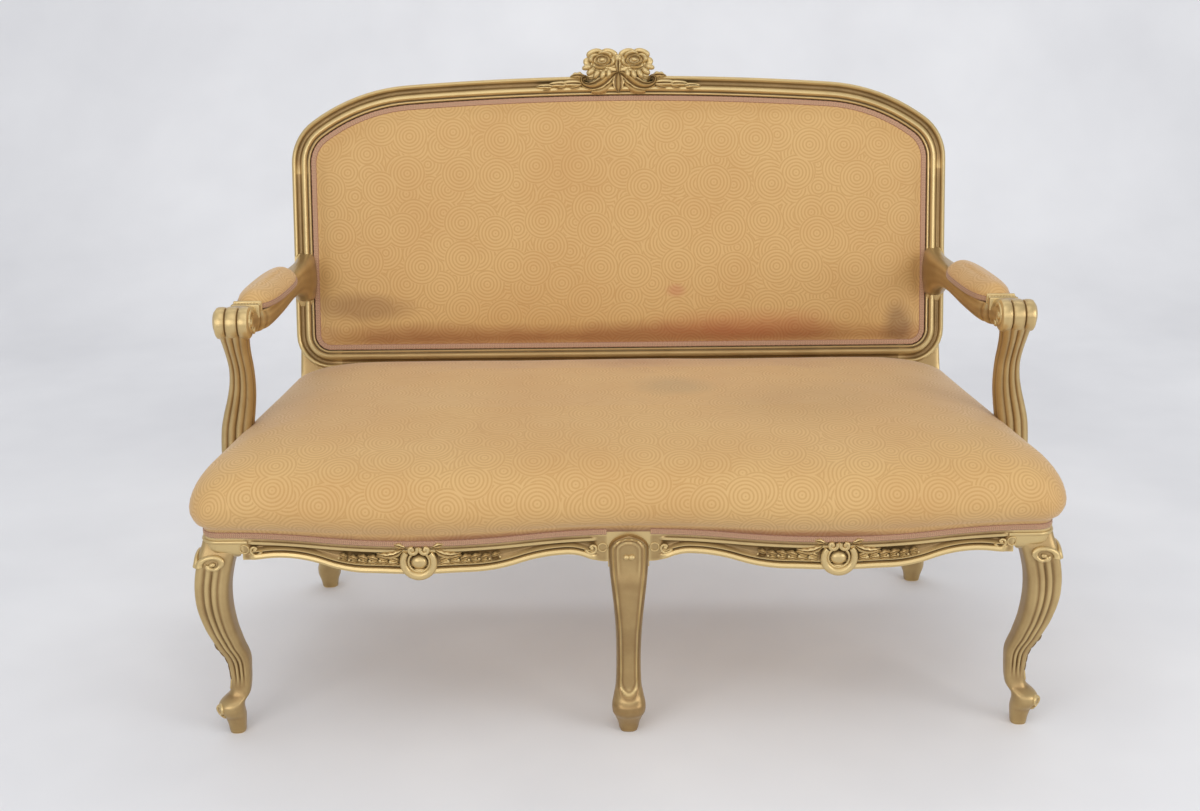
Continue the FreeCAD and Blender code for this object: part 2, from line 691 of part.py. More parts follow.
def crest():
    """Carved crest: two roses over buds, an acanthus scroll and leaves each side, a pendant leaf between."""
    place = lambda x, v, level: on_back(level)(x, back_height + v)
    right = []
    for radius, turn, low, high in ((rose_radius, 0, crest_back, 26.0), (0.68 * rose_radius, 36, 24.0, 34.0),
                                    (0.36 * rose_radius, 0, 32.0, crest_front)):
        right.append(tapered(lobed(rose_x, rose_height, radius, 5, 0.08, turn), 0.84, place, low, high))
    for x, v in ((12.0, 5.0), (27.0, 1.0), (43.0, 8.0)):
        right.append(tapered(lobed(x, v, 8.0, 2, 0.0), 0.6, place, crest_back, 41.0))
    outer, inner = crest_scroll()
    for i in range(len(outer) - 1):
        quad = [outer[i], outer[i + 1], inner[i + 1], inner[i]]
        right.append(tapered(quad, 1.0, place, crest_back, crest_front + 2))
    for x, v, length, width, turn in ((55, 2, 34, 16, 28), (60, -6, 32, 14, -6), (84, -8, 34, 12, 4),
                                      (106, -7, 34, 11, -3), (22, 27, 30, 16, 160)):
        right.append(tapered(leaf(x, v, length, width, turn), 0.5, place, crest_back, 39.0))
    right.append(tapered([(0, -13), (46, -13), (58, 4), (40, 27), (0, 38)], 0.9, place, crest_back, 24.0))
    pendant = tapered(leaf(0, 10, 38, 22, -90), 0.5, place, crest_back, 44.0)
    return leaned(cut(fuse(pendant, *both_sides(right)), crest_seat()))


# Arms. The arm's stations: how far back as a share of its length, how far out as a share of its spread,
# centre height, half width, half height
arm_stations = (
    (1.127, -0.01, 602.0, 20.0, 50.0), (1.0, 0.0, 605.0, 19.5, 41.0), (0.92, 0.05, 613.0, 19.5, 30.0),
    (0.803, 0.13, 620.0, 20.5, 22.0), (0.648, 0.23, 623.0, 23.5, 18.5), (0.389, 0.31, 623.0, 25.0, 18.0),
    (0.181, 0.44, 623.5, 25.0, 19.0), (0.098, 0.64, 626.5, 25.0, 22.0), (0.052, 0.85, 629.0, 26.0, 23.5),
    (0.0, 1.0, 630.0, 26.5, 24.0),
)
# The arm support's: height, centre along X and Y from the scroll's, half width, half depth
support_stations = (
    (rail_top, 17.0, 46.0, 27.0, 28.0), (400.0, 20.0, 49.0, 27.0, 25.0), (442.0, 19.0, 52.0, 26.5, 22.0),
    (468.0, 14.5, 52.0, 25.0, 20.5), (495.0, 8.5, 49.0, 22.5, 19.5), (521.0, 4.0, 43.0, 20.0, 18.5),
    (547.0, 1.5, 34.0, 18.5, 18.0), (570.0, 1.5, 24.0, 18.5, 18.5), (592.0, 1.5, 13.0, 20.0, 20.0),
    (613.0, 1.0, 4.0, 23.0, 21.0), (632.0, 0.0, 0.0, 24.0, 19.0),
)


def arm_bar(gap=0.0):
    """Right arm without its scroll, or with a gap the room that it takes."""
    rings = []
    for back, out, z, hx, hz in arm_stations:
        y = scroll_y + back * (rear_rail_back - scroll_y)
        section = soft_square(arm_rear_x + out * arm_spread, z, hx + gap, hz + gap, 0.6)
        rings.append([V(x, y, height) for x, height in section])
    return faceted(rings)


def post_shaft(stations, rounding, gap=0.0, out=0.0):
    """Right arm support's shaft through some of its stations; out moves and widens it outwards."""
    return upright_shaft([(z, scroll_x + x + out, scroll_y + y, hx + out + gap, hy + gap)
                          for z, x, y, hx, hy in stations], rounding)


def arm_screw(gap=0.0):
    """Screw that holds the arm from behind, through the stile's boss, with its head sunk; or its hole."""
    x, v = (arm_seat_inner + back_half_width) / 2, (arm_seat_low + arm_seat_high) / 2
    shank = rod(screw_radius + gap, V(x, -5 + gap, v), V(x, -5 - 2 * screw_length - gap, v))
    head = rod(screw_head_radius + gap, V(x, 1 if gap else -2, v), V(x, -5 - gap, v))
    return leaned(fuse(shank, head))


def arm():
    """Right arm: flares where it butts on the stile, runs forward under the pad and ends in a scroll."""
    centre = V(scroll_x - scroll_half_width, scroll_y, scroll_z)
    width = V(2 * scroll_half_width, 0, 0)
    eye = V(eye_proud, 0, 0)
    scroll = rod(scroll_radius, centre, centre + width, 24)
    boss = rod(scroll_radius * 0.45, centre - eye, centre + width + eye)
    behind = leaned(block(y0=-arm_seat_proud - FIT))
    step = block(y0=pad_front, y1=pad_rear, z0=pad_level)
    return cut(fuse(cut(arm_bar(), behind), scroll, boss), step, arm_screw(JOINT_FIT))


def arm_support():
    """Right arm support: an S-shaped post tenoned into the side rail, hollowed to take the arm's scroll."""
    post = fuse(post_shaft(support_stations, 0.5), post_mortise(0.0))
    saddle = rod(scroll_radius + FIT, V(0, scroll_y, scroll_z), V(REACH, scroll_y, scroll_z), 24)
    return cut(post, saddle, arm_bar(FIT))


# Blocks, screws and dowels


def corner_prism(x, y, reach, toward_y):
    """Triangle in plan with its right angle at an outer corner of the seat frame."""
    corners = [V(x, y, block_low), V(x - reach, y, block_low), V(x, y + toward_y * reach, block_low)]
    return Part.Face(Part.makePolygon(corners + corners[:1])).extrude(V(0, 0, block_high - block_low))


def corner_blocks():
    """Right-hand front and rear corner blocks, each glued and screwed between two rails behind a leg."""
    inside = seat_plate(block_low, block_high, -rail_thickness - FIT)
    front = corner_prism(front_half_width, rail_face, 2 * leg_block + block_reach, 1)
    leg = block(x0=front_half_width - leg_block - FIT, y1=rail_face + leg_block + FIT)
    rear_x, rear_y = rear_foot_x + stile_half, rear_rail_back
    rear = corner_prism(rear_x, rear_y, rear_y - stile_front + 2 * stile_half + block_reach, -1)
    stile = block(x0=rear_foot_x - stile_half - FIT, y0=stile_front - FIT)
    screws = block_screws(JOINT_FIT)
    return cut(front.common(inside), leg, *screws), cut(rear.common(inside), stile, *screws)


def block_screws(gap=0.0):
    """Screws through the right-hand corner blocks into the leg heads, or with a gap their holes."""
    screws = []
    z = (block_low + block_high) / 2
    for x, y, toward in ((front_half_width - leg_block, rail_face + leg_block, V(1, -1, 0)),
                         (rear_foot_x - stile_half, stile_front, V(1, 1, 0))):
        toward.normalize()
        start = V(x, y, z) - toward * (block_reach / math.sqrt(2) - 4)
        shank = rod(screw_radius + gap, start - toward, start + toward * (screw_length + gap))
        head = rod(screw_head_radius + gap, start - toward * (20 if gap else 3), start)
        screws.append(fuse(shank, head))
    return screws


# Upholstery. The seat's levels: height, how far it stands out in front, at the sides and behind, its corner
# radius in plan and the bow of its front
seat_levels = (
    (rail_top + FIT, 0.0, 0.0, 0.0, 26.0, 20.0), (353.0, 0.5, 0.5, 0.0, 26.5, 20.0),
    (366.0, 19.0, 9.0, 0.5, 34.0, 20.0), (388.0, seat_swell, 15.0, 1.0, 42.0, 20.0),
    (412.0, 27.0, 11.0, -1.0, 50.0, 19.0),
    (433.0, 14.0, 0.0, -6.0, 58.0, 17.0), (449.0, -9.0, -19.0, -16.0, 66.0, 15.0),
    (462.0, -48.0, -56.0, -34.0, 76.0, 12.0), (473.0, -112.0, -124.0, -75.0, 90.0, 8.0),
    (480.0, -200.0, -240.0, -140.0, 100.0, 4.0),
)


def seat_body(inset):
    """The padded seat, every face set inwards by inset; a hidden face takes every second level."""
    rings = []
    levels = seat_levels[:2] + seat_levels[3::2] if inset else seat_levels
    for z, front, side, rear, corner, bow in levels:
        outline = seat_outline(front - inset, side - inset, rear - inset, corner, bow,
                               bow_at * (1 + side / front_half_width))
        lowered = z if z < 400 else z - inset
        rings.append(ring_of(outline, lambda x, y: V(x, y, lowered)))
    return faceted(rings)


def seat_notches(gap):
    """Room in the seat's upholstery for the rear stiles and the arm supports."""
    stile = block(x0=rear_foot_x - stile_half - gap, y0=stile_front - gap)
    foot = (rail_top - gap,) + support_stations[0][1:]
    return both_sides([stile, post_shaft((foot,) + support_stations[1:6], 0.3, gap, 30.0)])


def seat_stuffing():
    above = block(z0=seat_ground + thin_cloth + 2 * FIT)
    return cut(seat_body(cloth + FIT).common(above), *seat_notches(FIT + cloth + FIT))


def seat_cover():
    return cut(seat_body(0).cut(seat_body(cloth)), *seat_notches(FIT))


def strap_places(half_span, count):
    pitch = 2 * half_span / count
    return [pitch * (i + 0.5) - half_span for i in range(count)]


def seat_webbing():
    """Front-to-back straps tacked over the rails, with cross straps over them."""
    solids = []
    low = rail_top + FIT
    layer = seat_plate(low, low + strap_thickness, -strap_edge)
    for x in strap_places(rear_half_width - 60, 10):
        solids.append(layer.common(block(x - strap_width / 2, x + strap_width / 2)))
    low += strap_thickness + FIT
    layer = seat_plate(low, low + strap_thickness, -strap_edge)
    middle = (rail_face + rear_rail_back) / 2
    for offset in strap_places((rear_rail_back - rail_face) / 2 - 65, 5):
        y = middle + offset
        solids.append(layer.common(block(y0=y - strap_width / 2, y1=y + strap_width / 2)))
    notches = seat_notches(FIT)
    return [cut(s, *notches) for s in solids]


def seat_hessian():
    low = seat_ground
    return cut(seat_plate(low, low + thin_cloth, -strap_edge), *seat_notches(FIT))


def seat_braid():
    """Braid over the cover's tacked edge, from one rear stile round the front to the other."""
    low = rail_top - braid_width / 3
    inner = 0.5 + FIT
    high = low + braid_width
    band = seat_plate(low, high, inner + braid_thickness).cut(seat_plate(low, high, inner))
    keep = block(y1=stile_front - FIT)
    head = block(-centre_block_half - FIT, centre_block_half + FIT, y1=0, z1=rail_top - 4 + FIT)
    return all_solids(band.common(keep).cut(Part.makeCompound(seat_notches(FIT)[1::2])).cut(head))


# The back's levels: distance inwards from the frame's edge, height over the rear face, corner radius,
# shoulder radius
back_levels = (
    (35.0, back_ground, 27.0, 57.0), (35.3, 24.5, 27.0, 57.0), (37.0, 25.8, 26.0, 56.0),
    (46.0, 26.0, 24.0, 52.0), (62.0, 35.0, 34.0, 60.0), (90.0, 43.5, 44.0, 66.0), (140.0, 50.0, 46.0, 70.0),
    (190.0, 53.0, 36.0, 70.0),
)


def back_body(inset):
    """The padded back, drawn upright, every face set inwards by inset; a hidden face takes fewer levels."""
    rings = []
    levels = back_levels[:1] + back_levels[3::2] if inset else back_levels
    for distance, level, corner, shoulder in levels:
        outline = back_outline(distance + inset, corner, shoulder, haunch_radius - distance)
        rings.append(ring_of(outline, on_back(level if level == back_ground else level - inset)))
    return faceted(rings)


def back_cover():
    return leaned(largest(back_body(0).cut(back_body(cloth))))


def back_stuffing():
    return leaned(back_body(cloth + FIT))


def back_webbing():
    """Upright straps in the frame's rabbet, with level straps over them."""
    solids = []
    low = rabbet_level + FIT
    layer = back_sheet(moulding_inner + 6, low, low + strap_thickness)
    for x in strap_places(back_half_width - 105, 8):
        solids.append(layer.common(block(x - strap_width / 2, x + strap_width / 2)))
    low += strap_thickness + FIT
    layer = back_sheet(moulding_inner + 6, low, low + strap_thickness)
    for v in strap_places(back_height / 2 - 79, 4):
        middle = back_height / 2 - 10 + v
        solids.append(layer.common(block(z0=middle - strap_width / 2, z1=middle + strap_width / 2)))
    return [leaned(s) for s in solids]


def back_braid():
    low = 26.0 + FIT
    inset = moulding_inner + 1
    high = low + braid_thickness
    inside = back_sheet(inset + braid_width, low - 1, high + 1)
    return leaned(cut(back_sheet(inset, low, high), inside))


def outer_back_cover():
    """Cloth stretched over the rear of the back frame."""
    return leaned(back_sheet(moulding_inner, -FIT - thin_cloth, -FIT))


# The arm pad's levels: height over the step, and how far it stands out from its foot
pad_levels = ((FIT, 0.0), (7.0, 1.5), (14.0, 0.5), (20.0, -5.0), (25.0, -12.5), (28.0, -21.0))


def pad_body(inset, levels=pad_levels):
    """The right arm's pad, every face set inwards by inset."""
    long_half = (pad_rear - pad_front) / 2 - FIT - 1.5
    rings = []
    for height, out in levels:
        z = height if height == levels[0][0] else height - inset
        hx, hy = pad_half_width + out - inset, long_half + out - inset
        r = hx - 4
        corners = []
        for sx, sy, start in ((1, -1, -90), (1, 1, 0), (-1, 1, 90), (-1, -1, 180)):
            centre = (sx * (hx - r), sy * (hy - r))
            corners += [polar(centre, r, start + 22.5 * i) for i in range(5)]
        rings.append([V(x, y, z) for x, y in corners])
    pad = faceted(rings)
    pad.rotate(V(0, 0, 0), V(0, 0, 1), pad_turn)
    return moved(pad, pad_x, (pad_front + pad_rear) / 2, pad_level)


def arm_pad_cover():
    return cut(pad_body(0), pad_body(cloth))


def arm_pad_stuffing():
    return pad_body(cloth + FIT)


def arm_pad_braid():
    outer = ((FIT, 1.8 + braid_thickness), (braid_width * 0.8, 1.8 + braid_thickness))
    inner = ((FIT, 1.8), (braid_width * 0.8, 1.8))
    step = block(y0=pad_front + FIT, y1=pad_rear - FIT)
    return all_solids(pad_body(0, outer).cut(pad_body(0, inner)).common(step))


def save(name, *solids):
    for solid in solids:
        if not solid.isValid() or solid.Volume <= 0:
            print("check", name, solid.isValid(), solid.Volume)
    shape = solids[0] if len(solids) == 1 else Part.makeCompound(solids)
    shape.exportStep(os.path.join(OUT, name + ".step"))


def save_pair(name, *solids):
    save(name + "_right", *solids)
    save(name + "_left", *(mirrored(s) for s in solids))


os.makedirs(OUT, exist_ok=True)
ring = back_ring()
save("back_top_rail", top_rail(ring))
save("back_bottom_rail", bottom_rail(ring))
save_pair("rear_leg_and_stile", rear_leg_and_stile(ring))
save("crest_carving", crest())
save_pair("seat_rail_front", front_rail())
save_pair("seat_rail_side", side_rail())
save("seat_rail_rear", rear_rail())
save_pair("front_leg", corner_leg())
save("front_leg_centre", centre_leg())
save_pair("arm", arm())
save_pair("arm_support", arm_support())
save("seat_brace", brace_blank(0.0))
front_block, rear_block = corner_blocks()
save_pair("corner_block_front", front_block)
save_pair("corner_block_rear", rear_block)
save("corner_block_screws", *both_sides(block_screws()))
save("arm_screws", *both_sides([arm_screw()]))
save("frame_dowels", *both_sides(frame_dowels()))
save("seat_webbing", *seat_webbing())
save("seat_hessian", seat_hessian())
save("seat_stuffing", seat_stuffing())
save("seat_cover", seat_cover())
save("seat_braid", *seat_braid())
save("back_webbing", *back_webbing())
save("back_stuffing", back_stuffing())
save("back_cover", back_cover())
save("back_braid", back_braid())
save("outer_back_cover", outer_back_cover())
save_pair("arm_pad_stuffing", arm_pad_stuffing())
save_pair("arm_pad_cover", arm_pad_cover())
save_pair("arm_pad_braid", *arm_pad_braid())
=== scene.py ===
import math

import bmesh
import bpy
import numpy as np
from mathutils import Matrix, Vector, noise


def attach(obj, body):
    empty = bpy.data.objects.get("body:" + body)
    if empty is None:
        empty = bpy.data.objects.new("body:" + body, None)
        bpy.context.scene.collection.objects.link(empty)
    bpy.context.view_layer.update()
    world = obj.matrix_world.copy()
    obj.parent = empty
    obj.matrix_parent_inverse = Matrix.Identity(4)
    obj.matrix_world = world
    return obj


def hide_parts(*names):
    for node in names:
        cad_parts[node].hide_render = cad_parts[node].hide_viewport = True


# Gilt open-arm sofa for two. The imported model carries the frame; every piece here is in metres in its frame.
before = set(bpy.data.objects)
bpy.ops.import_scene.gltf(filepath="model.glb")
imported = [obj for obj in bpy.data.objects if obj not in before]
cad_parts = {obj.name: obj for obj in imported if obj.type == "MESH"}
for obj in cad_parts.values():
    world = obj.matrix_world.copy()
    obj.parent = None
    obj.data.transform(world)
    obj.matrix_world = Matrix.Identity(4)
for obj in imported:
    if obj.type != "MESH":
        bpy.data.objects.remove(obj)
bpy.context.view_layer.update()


# Camera
# Seen from in front and above, as a standing person sees the sofa, a little to the left of its middle. The
# image is 1200 wide and 811 high, and the lens is given in its pixels.
eye = Vector((-0.0532, -2.466, 1.243))
looking_down = math.radians(18.0)
turned_right = math.radians(0.32)
tilted = math.radians(0.5)
image_width = 1200
lens_in_pixels = 1550

camera = bpy.data.objects.new("camera", bpy.data.cameras.new("camera"))
camera.location = eye
turn = Matrix.Rotation(-turned_right, 3, "Z") @ Matrix.Rotation(math.pi / 2 - looking_down, 3, "X")
camera.rotation_euler = (turn @ Matrix.Rotation(-tilted, 3, "Z")).to_euler()
camera.data.sensor_width = 36
camera.data.lens = lens_in_pixels / image_width * camera.data.sensor_width
bpy.context.scene.collection.objects.link(camera)
bpy.context.scene.camera = camera
bpy.context.scene.view_settings.view_transform = "Standard"


# Floor and backdrop
# A wide sheet of pale grey paper, laid on the floor and swept up behind the sofa in one curve, so that no
# line shows between floor and wall.
floor_half_width = 6.0
floor_front = -3.2
wall_y = 3.2
wall_top = 4.5
sweep_radius = 1.2
sweep_steps = 12


def linear(colour):
    """Blender's colour from an sRGB hex value."""
    values = [int(colour[i:i + 2], 16) / 255 for i in (1, 3, 5)]
    return [v / 12.92 if v <= 0.04045 else ((v + 0.055) / 1.055) ** 2.4 for v in values] + [1.0]


def node(tree, kind, inputs=None, stops=(), **settings):
    """Adds a node. Inputs give each socket a value, a hex colour or another node's output to link, and stops
    are a colour ramp's places and hex colours."""
    made = tree.nodes.new("ShaderNode" + kind)
    for name, value in settings.items():
        setattr(made, name, value)
    for name, value in (inputs or {}).items():
        if isinstance(value, bpy.types.NodeSocket):
            tree.links.new(value, made.inputs[name])
        else:
            made.inputs[name].default_value = linear(value) if isinstance(value, str) else value
    for k, (place, colour) in enumerate(stops):
        elements = made.color_ramp.elements
        element = elements[k] if k < len(elements) else elements.new(place)
        element.position = place
        element.color = linear(colour)
    return made


def new_material(name):
    """An empty material and its node tree."""
    material = bpy.data.materials.new(name)
    material.use_nodes = True
    material.node_tree.nodes.clear()
    return material, material.node_tree


def scale_of(millimetres):
    """Scale of a pattern whose features are so many millimetres wide."""
    return 1000 / millimetres


def backdrop_paper():
    """Uncoated paper: matt, pale grey, and a little uneven in soft patches nearly a metre wide."""
    material, tree = new_material("backdrop_paper")
    place = node(tree, "TexCoord").outputs["Object"]
    patches = node(tree, "TexNoise", {"Vector": place, "Scale": scale_of(909), "Detail": 4.0,
                                      "Roughness": 0.55})
    tone = node(tree, "ValToRGB", {"Fac": patches.outputs["Fac"]}, ((0.3, "#E0E0E2"), (0.7, "#F0F0F1")))
    paper = node(tree, "BsdfDiffuse", {"Color": tone.outputs[0]})
    node(tree, "OutputMaterial", {"Surface": paper.outputs[0]})
    return material


bm = bmesh.new()
start = bm.verts.new((-floor_half_width, floor_front, 0))
edge = bm.edges.new((start, bm.verts.new((floor_half_width, floor_front, 0))))
row = [edge]
for step in range(sweep_steps + 1):
    angle = math.pi / 2 * step / sweep_steps
    y = wall_y - sweep_radius + sweep_radius * math.sin(angle)
    z = sweep_radius * (1 - math.cos(angle))
    made = bmesh.ops.extrude_edge_only(bm, edges=row)["geom"]
    row = [g for g in made if isinstance(g, bmesh.types.BMEdge)]
    for vert in {v for e in row for v in e.verts}:
        vert.co = (vert.co.x, y, z)
made = bmesh.ops.extrude_edge_only(bm, edges=row)["geom"]
for vert in [g for g in made if isinstance(g, bmesh.types.BMVert)]:
    vert.co.z = wall_top
bmesh.ops.recalc_face_normals(bm, faces=bm.faces)
for face in bm.faces:
    face.smooth = True
floor_mesh = bpy.data.meshes.new("floor")
bm.to_mesh(floor_mesh)
bm.free()
floor = bpy.data.objects.new("floor", floor_mesh)
bpy.context.scene.collection.objects.link(floor)
floor.data.materials.append(backdrop_paper())


# Light
# Soft lamps overhead, on both sides and in front, one that lights the paper behind, and pale air all round.


def softbox(name, place, target, size, power):
    """A rectangular soft lamp at a place, turned to its target."""
    lamp = bpy.data.lights.new(name, "AREA")
    lamp.shape = "RECTANGLE"
    lamp.size, lamp.size_y = size
    lamp.energy = power
    made = bpy.data.objects.new(name, lamp)
    made.location = place
    made.rotation_euler = (Vector(target) - Vector(place)).to_track_quat("-Z", "Y").to_euler()
    bpy.context.scene.collection.objects.link(made)


softbox("lamp_over", (-0.3, -1.3, 3.0), (0.0, 0.0, 0.4), (2.6, 2.0), 17)
softbox("lamp_left", (-1.8, -2.7, 1.6), (0.0, 0.0, 0.5), (1.6, 1.6), 18)
softbox("lamp_right", (2.7, -2.0, 1.5), (0.0, 0.0, 0.5), (1.6, 1.6), 24)
softbox("lamp_front", (0.3, -4.4, 2.1), (0.0, 0.0, 0.6), (4.5, 2.2), 38)
softbox("lamp_wall", (0.0, 1.3, 3.6), (0.0, 3.2, 1.3), (5.0, 1.5), 34)
world = bpy.data.worlds.new("pale_air")
world.use_nodes = True
world.node_tree.nodes["Background"].inputs["Color"].default_value = linear("#E9EBF0")
world.node_tree.nodes["Background"].inputs["Strength"].default_value = 0.66
bpy.context.scene.world = world


# Front seat rails
# Two beech rails, bowed in plan and sawn to a wavy lower edge, carved with a bead, a hollow and a fillet, and
# gilded. In the middle of each sits a C-scroll cartouche with leaf sprays running out from it on both sides.
# They are tenoned into the corner legs and into the middle leg.
rail_top = 0.345
rail_face = -0.315
rail_thickness = 0.028
rail_bow = 0.020
bow_at = 0.313
rail_inner, rail_outer = 0.031, 0.580
frame_half_width = 0.642
frame_corner = 0.026
# The wavy lower edge: place along the rail, height
rail_foot = ((0.031, 0.297), (0.093, 0.311), (0.237, 0.2905), (0.313, 0.289), (0.389, 0.2905), (0.518, 0.311),
             (0.580, 0.306))
# The lower moulding: out from the rail's face, height over its foot
rail_bead = ((0.0, 0.0), (0.0034, 0.0008), (0.0048, 0.0045), (0.0034, 0.0082), (0.0, 0.0098),
             (-0.0014, 0.0106), (0.0014, 0.0120), (0.0018, 0.0136), (-0.0012, 0.0156))
# The top fillet: out from the rail's face, height over the hollow
rail_fillet = ((-0.0002, 0.0), (0.0024, 0.0007), (0.0030, 0.0025), (0.0026, 0.0048), (0.0004, 0.0062),
               (0.0, 0.0075))
hollow_top = 0.3318
hollow_depth = 0.0040
braid_dip = 0.0085
rail_steps = 190
cartouche_z = 0.3095


def gilt_paint():
    """Bronze-powder gilding over gesso on carved beech: a satin metal, brown glazing left in the hollows,
    paler where hands and dusters have rubbed the edges. The colour follows pointiness, so the hollows also
    carry painted shade and the raised edges a painted highlight."""
    material, tree = new_material("gilt_bronze_paint")
    place = node(tree, "TexCoord").outputs["Object"]
    # Pointiness is high on raised carving and low in hollows, and it drives the colour below. It gives real
    # brown glazing and rubbed edges, and with them painted shade in the hollows and a painted highlight on the
    # edges.
    pointiness_painted_light = node(tree, "NewGeometry").outputs["Pointiness"]
    patches = node(tree, "TexNoise", {"Vector": place, "Scale": scale_of(62.5), "Detail": 5.0,
                                      "Roughness": 0.6})
    specks = node(tree, "TexNoise", {"Vector": place, "Scale": scale_of(2.381), "Detail": 2.0}).outputs["Fac"]
    # worn adds random patches to the pointiness, so it is part wear and part painted light.
    worn = node(tree, "Math", {0: patches.outputs["Fac"], 1: 0.06, 2: pointiness_painted_light}, operation="MULTIPLY_ADD")
    # The darkest stops are brown glazing with painted shade, and the palest stop is a painted highlight.
    glaze_and_painted_light = ((0.44, "#4F391F"), (0.49, "#7B6038"), (0.515, "#95764A"), (0.58, "#D2B881"))
    tone = node(tree, "ValToRGB", {"Fac": worn.outputs[0]}, glaze_and_painted_light)
    powder = node(tree, "Math", {0: specks, 1: 0.22}, operation="MULTIPLY")
    tone = node(tree, "Mix", {0: powder.outputs[0], 6: tone.outputs[0], 7: "#BFA472"}, data_type="RGBA")
    rough = node(tree, "Math", {0: patches.outputs["Fac"], 1: 0.20, 2: 0.23}, operation="MULTIPLY_ADD")
    bump = node(tree, "Bump", {"Strength": 0.12, "Distance": 0.0006, "Height": specks})
    paint = node(tree, "BsdfPrincipled", {"Base Color": tone.outputs[2], "Metallic": 0.58,
                                          "Roughness": rough.outputs[0], "Normal": bump.outputs[0]})
    node(tree, "OutputMaterial", {"Surface": paint.outputs[0]})
    return material


gilt = gilt_paint()


def ease(t):
    """Two equal arcs in an S from 0 to 1, level at both ends."""
    t = min(max(t, 0.0), 1.0)
    return 2 * t * t if t < 0.5 else 1 - 2 * (1 - t) ** 2


def wavy(x, knots):
    """Height at x of a line that runs through knots in S curves."""
    for (x0, low), (x1, high) in zip(knots, knots[1:]):
        if x <= x1:
            return low + (high - low) * ease((x - x0) / (x1 - x0))
    return knots[-1][1]


def bump_at(value, centre, width):
    """A smooth bump of height 1 round a centre."""
    return math.exp(-((value - centre) / width) ** 2)


def drawn(rows, columns, place, around=True, ends=True):
    """A mesh drawn over a grid: place(i, j) puts each corner, around joins its long edges, ends closes it."""
    bm = bmesh.new()
    bmesh.ops.create_grid(bm, x_segments=rows, y_segments=columns, size=1)
    for vert in bm.verts:
        vert.co = place(round((vert.co.x + 1) / 2 * rows), round((vert.co.y + 1) / 2 * columns))
    if around:
        bmesh.ops.remove_doubles(bm, verts=bm.verts, dist=1e-6)
    if ends:
        bmesh.ops.holes_fill(bm, edges=[e for e in bm.edges if e.is_boundary], sides=0)
    bmesh.ops.recalc_face_normals(bm, faces=bm.faces)
    return bm


def laid(bm, ground):
    """Moves a carving from flat coordinates, along, up and out, to its place on a ground."""
    for vert in bm.verts:
        vert.co = ground(*vert.co)
    bmesh.ops.recalc_face_normals(bm, faces=bm.faces)
    return bm


def strand(path, radius, sides=10, steps=24, flat=1.0, out=0.0):
    """Round strand of carving that follows path(t) on flat ground, radius(t) thick; its ends are closed."""
    def place(i, j):
        t = i / steps
        (a0, b0), (a1, b1) = path(t - 0.01), path(t + 0.01)
        along = Vector((a1 - a0, b1 - b0)).normalized()
        a, b = path(t)
        turn = 2 * math.pi * j / sides
        side = radius(t) * math.cos(turn)
        return (a - along.y * side, b + along.x * side, out + flat * radius(t) * math.sin(turn))
    return drawn(steps, sides, place)


def spiral(centre, outer, inner, start, turns):
    """A path that winds from an outer to an inner radius."""
    def path(t):
        turn = math.radians(start) + 2 * math.pi * turns * t
        radius = outer + (inner - outer) * t
        return centre[0] + radius * math.cos(turn), centre[1] + radius * math.sin(turn)
    return path


def leaf(foot, length, width, degrees, bend=0.0, high=0.006, lobes=3, steps=16, across=10):
    """Carved leaf on flat ground: a ridge each side of a vein, scalloped edges, and a midline that bends."""
    def place(i, j):
        t = i / steps
        turn = math.radians(degrees + bend * t)
        middle = math.radians(degrees + bend * t / 2)
        reach = length * t
        a = foot[0] + reach * math.cos(middle)
        b = foot[1] + reach * math.sin(middle)
        scallop = 1 + 0.16 * math.cos(2 * math.pi * lobes * t)
        half = width / 2 * math.sin(math.pi * min(1, t ** 0.8)) ** 0.7 * scallop if 0 < i < steps else 0.0
        w = math.cos(math.pi * j / across)
        top = j <= across
        rise = high * (math.sin(math.pi * (0.12 + 0.86 * t)) ** 0.6)
        shape = (1 - w * w) ** 0.5 * (1 - 0.45 * bump_at(w, 0, 0.22)) if top else -0.3
        return (a - math.sin(turn) * half * w, b + math.cos(turn) * half * w, rise * shape)
    return drawn(steps, 2 * across, place, ends=False)


def bead(centre, radius, flat=0.7, out=0.0):
    """A carved bead or bud, half sunk in its ground."""
    bm = bmesh.new()
    bmesh.ops.create_uvsphere(bm, u_segments=14, v_segments=8, radius=radius)
    bmesh.ops.scale(bm, vec=(1, 1, flat), verts=bm.verts)
    bmesh.ops.translate(bm, vec=(centre[0], centre[1], out), verts=bm.verts)
    return bm


def one_mesh(name, parts):
    """Several carvings in one mesh."""
    whole = bmesh.new()
    for part in parts:
        spare = bpy.data.meshes.new("spare")
        part.to_mesh(spare)
        whole.from_mesh(spare)
        bpy.data.meshes.remove(spare)
    mesh = bpy.data.meshes.new(name)
    whole.to_mesh(mesh)
    whole.free()
    return mesh


def finished(name, parts, material, slot, stands_for, sharp=38):
    """A finished piece of the sofa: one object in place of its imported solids."""
    mesh = one_mesh(name, parts)
    mesh.polygons.foreach_set("use_smooth", [True] * len(mesh.polygons))
    mesh.set_sharp_from_angle(angle=math.radians(sharp))
    mesh.materials.append(material)
    piece = bpy.data.objects.new(name, mesh)
    bpy.context.scene.collection.objects.link(piece)
    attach(piece, "root")
    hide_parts(*stands_for)
    return piece


def finished_pair(name, parts, material, slot, stands_for, sharp=38):
    """A right-hand piece, and its mirror image on the left."""
    finished(name + "_right_carved", parts, material, slot, [n + "_right" for n in stands_for], sharp)
    for part in parts:
        bmesh.ops.scale(part, vec=(-1, 1, 1), verts=part.verts)
        bmesh.ops.reverse_faces(part, faces=part.faces)
    finished(name + "_left_carved", parts, material, slot, [n + "_left" for n in stands_for], sharp)


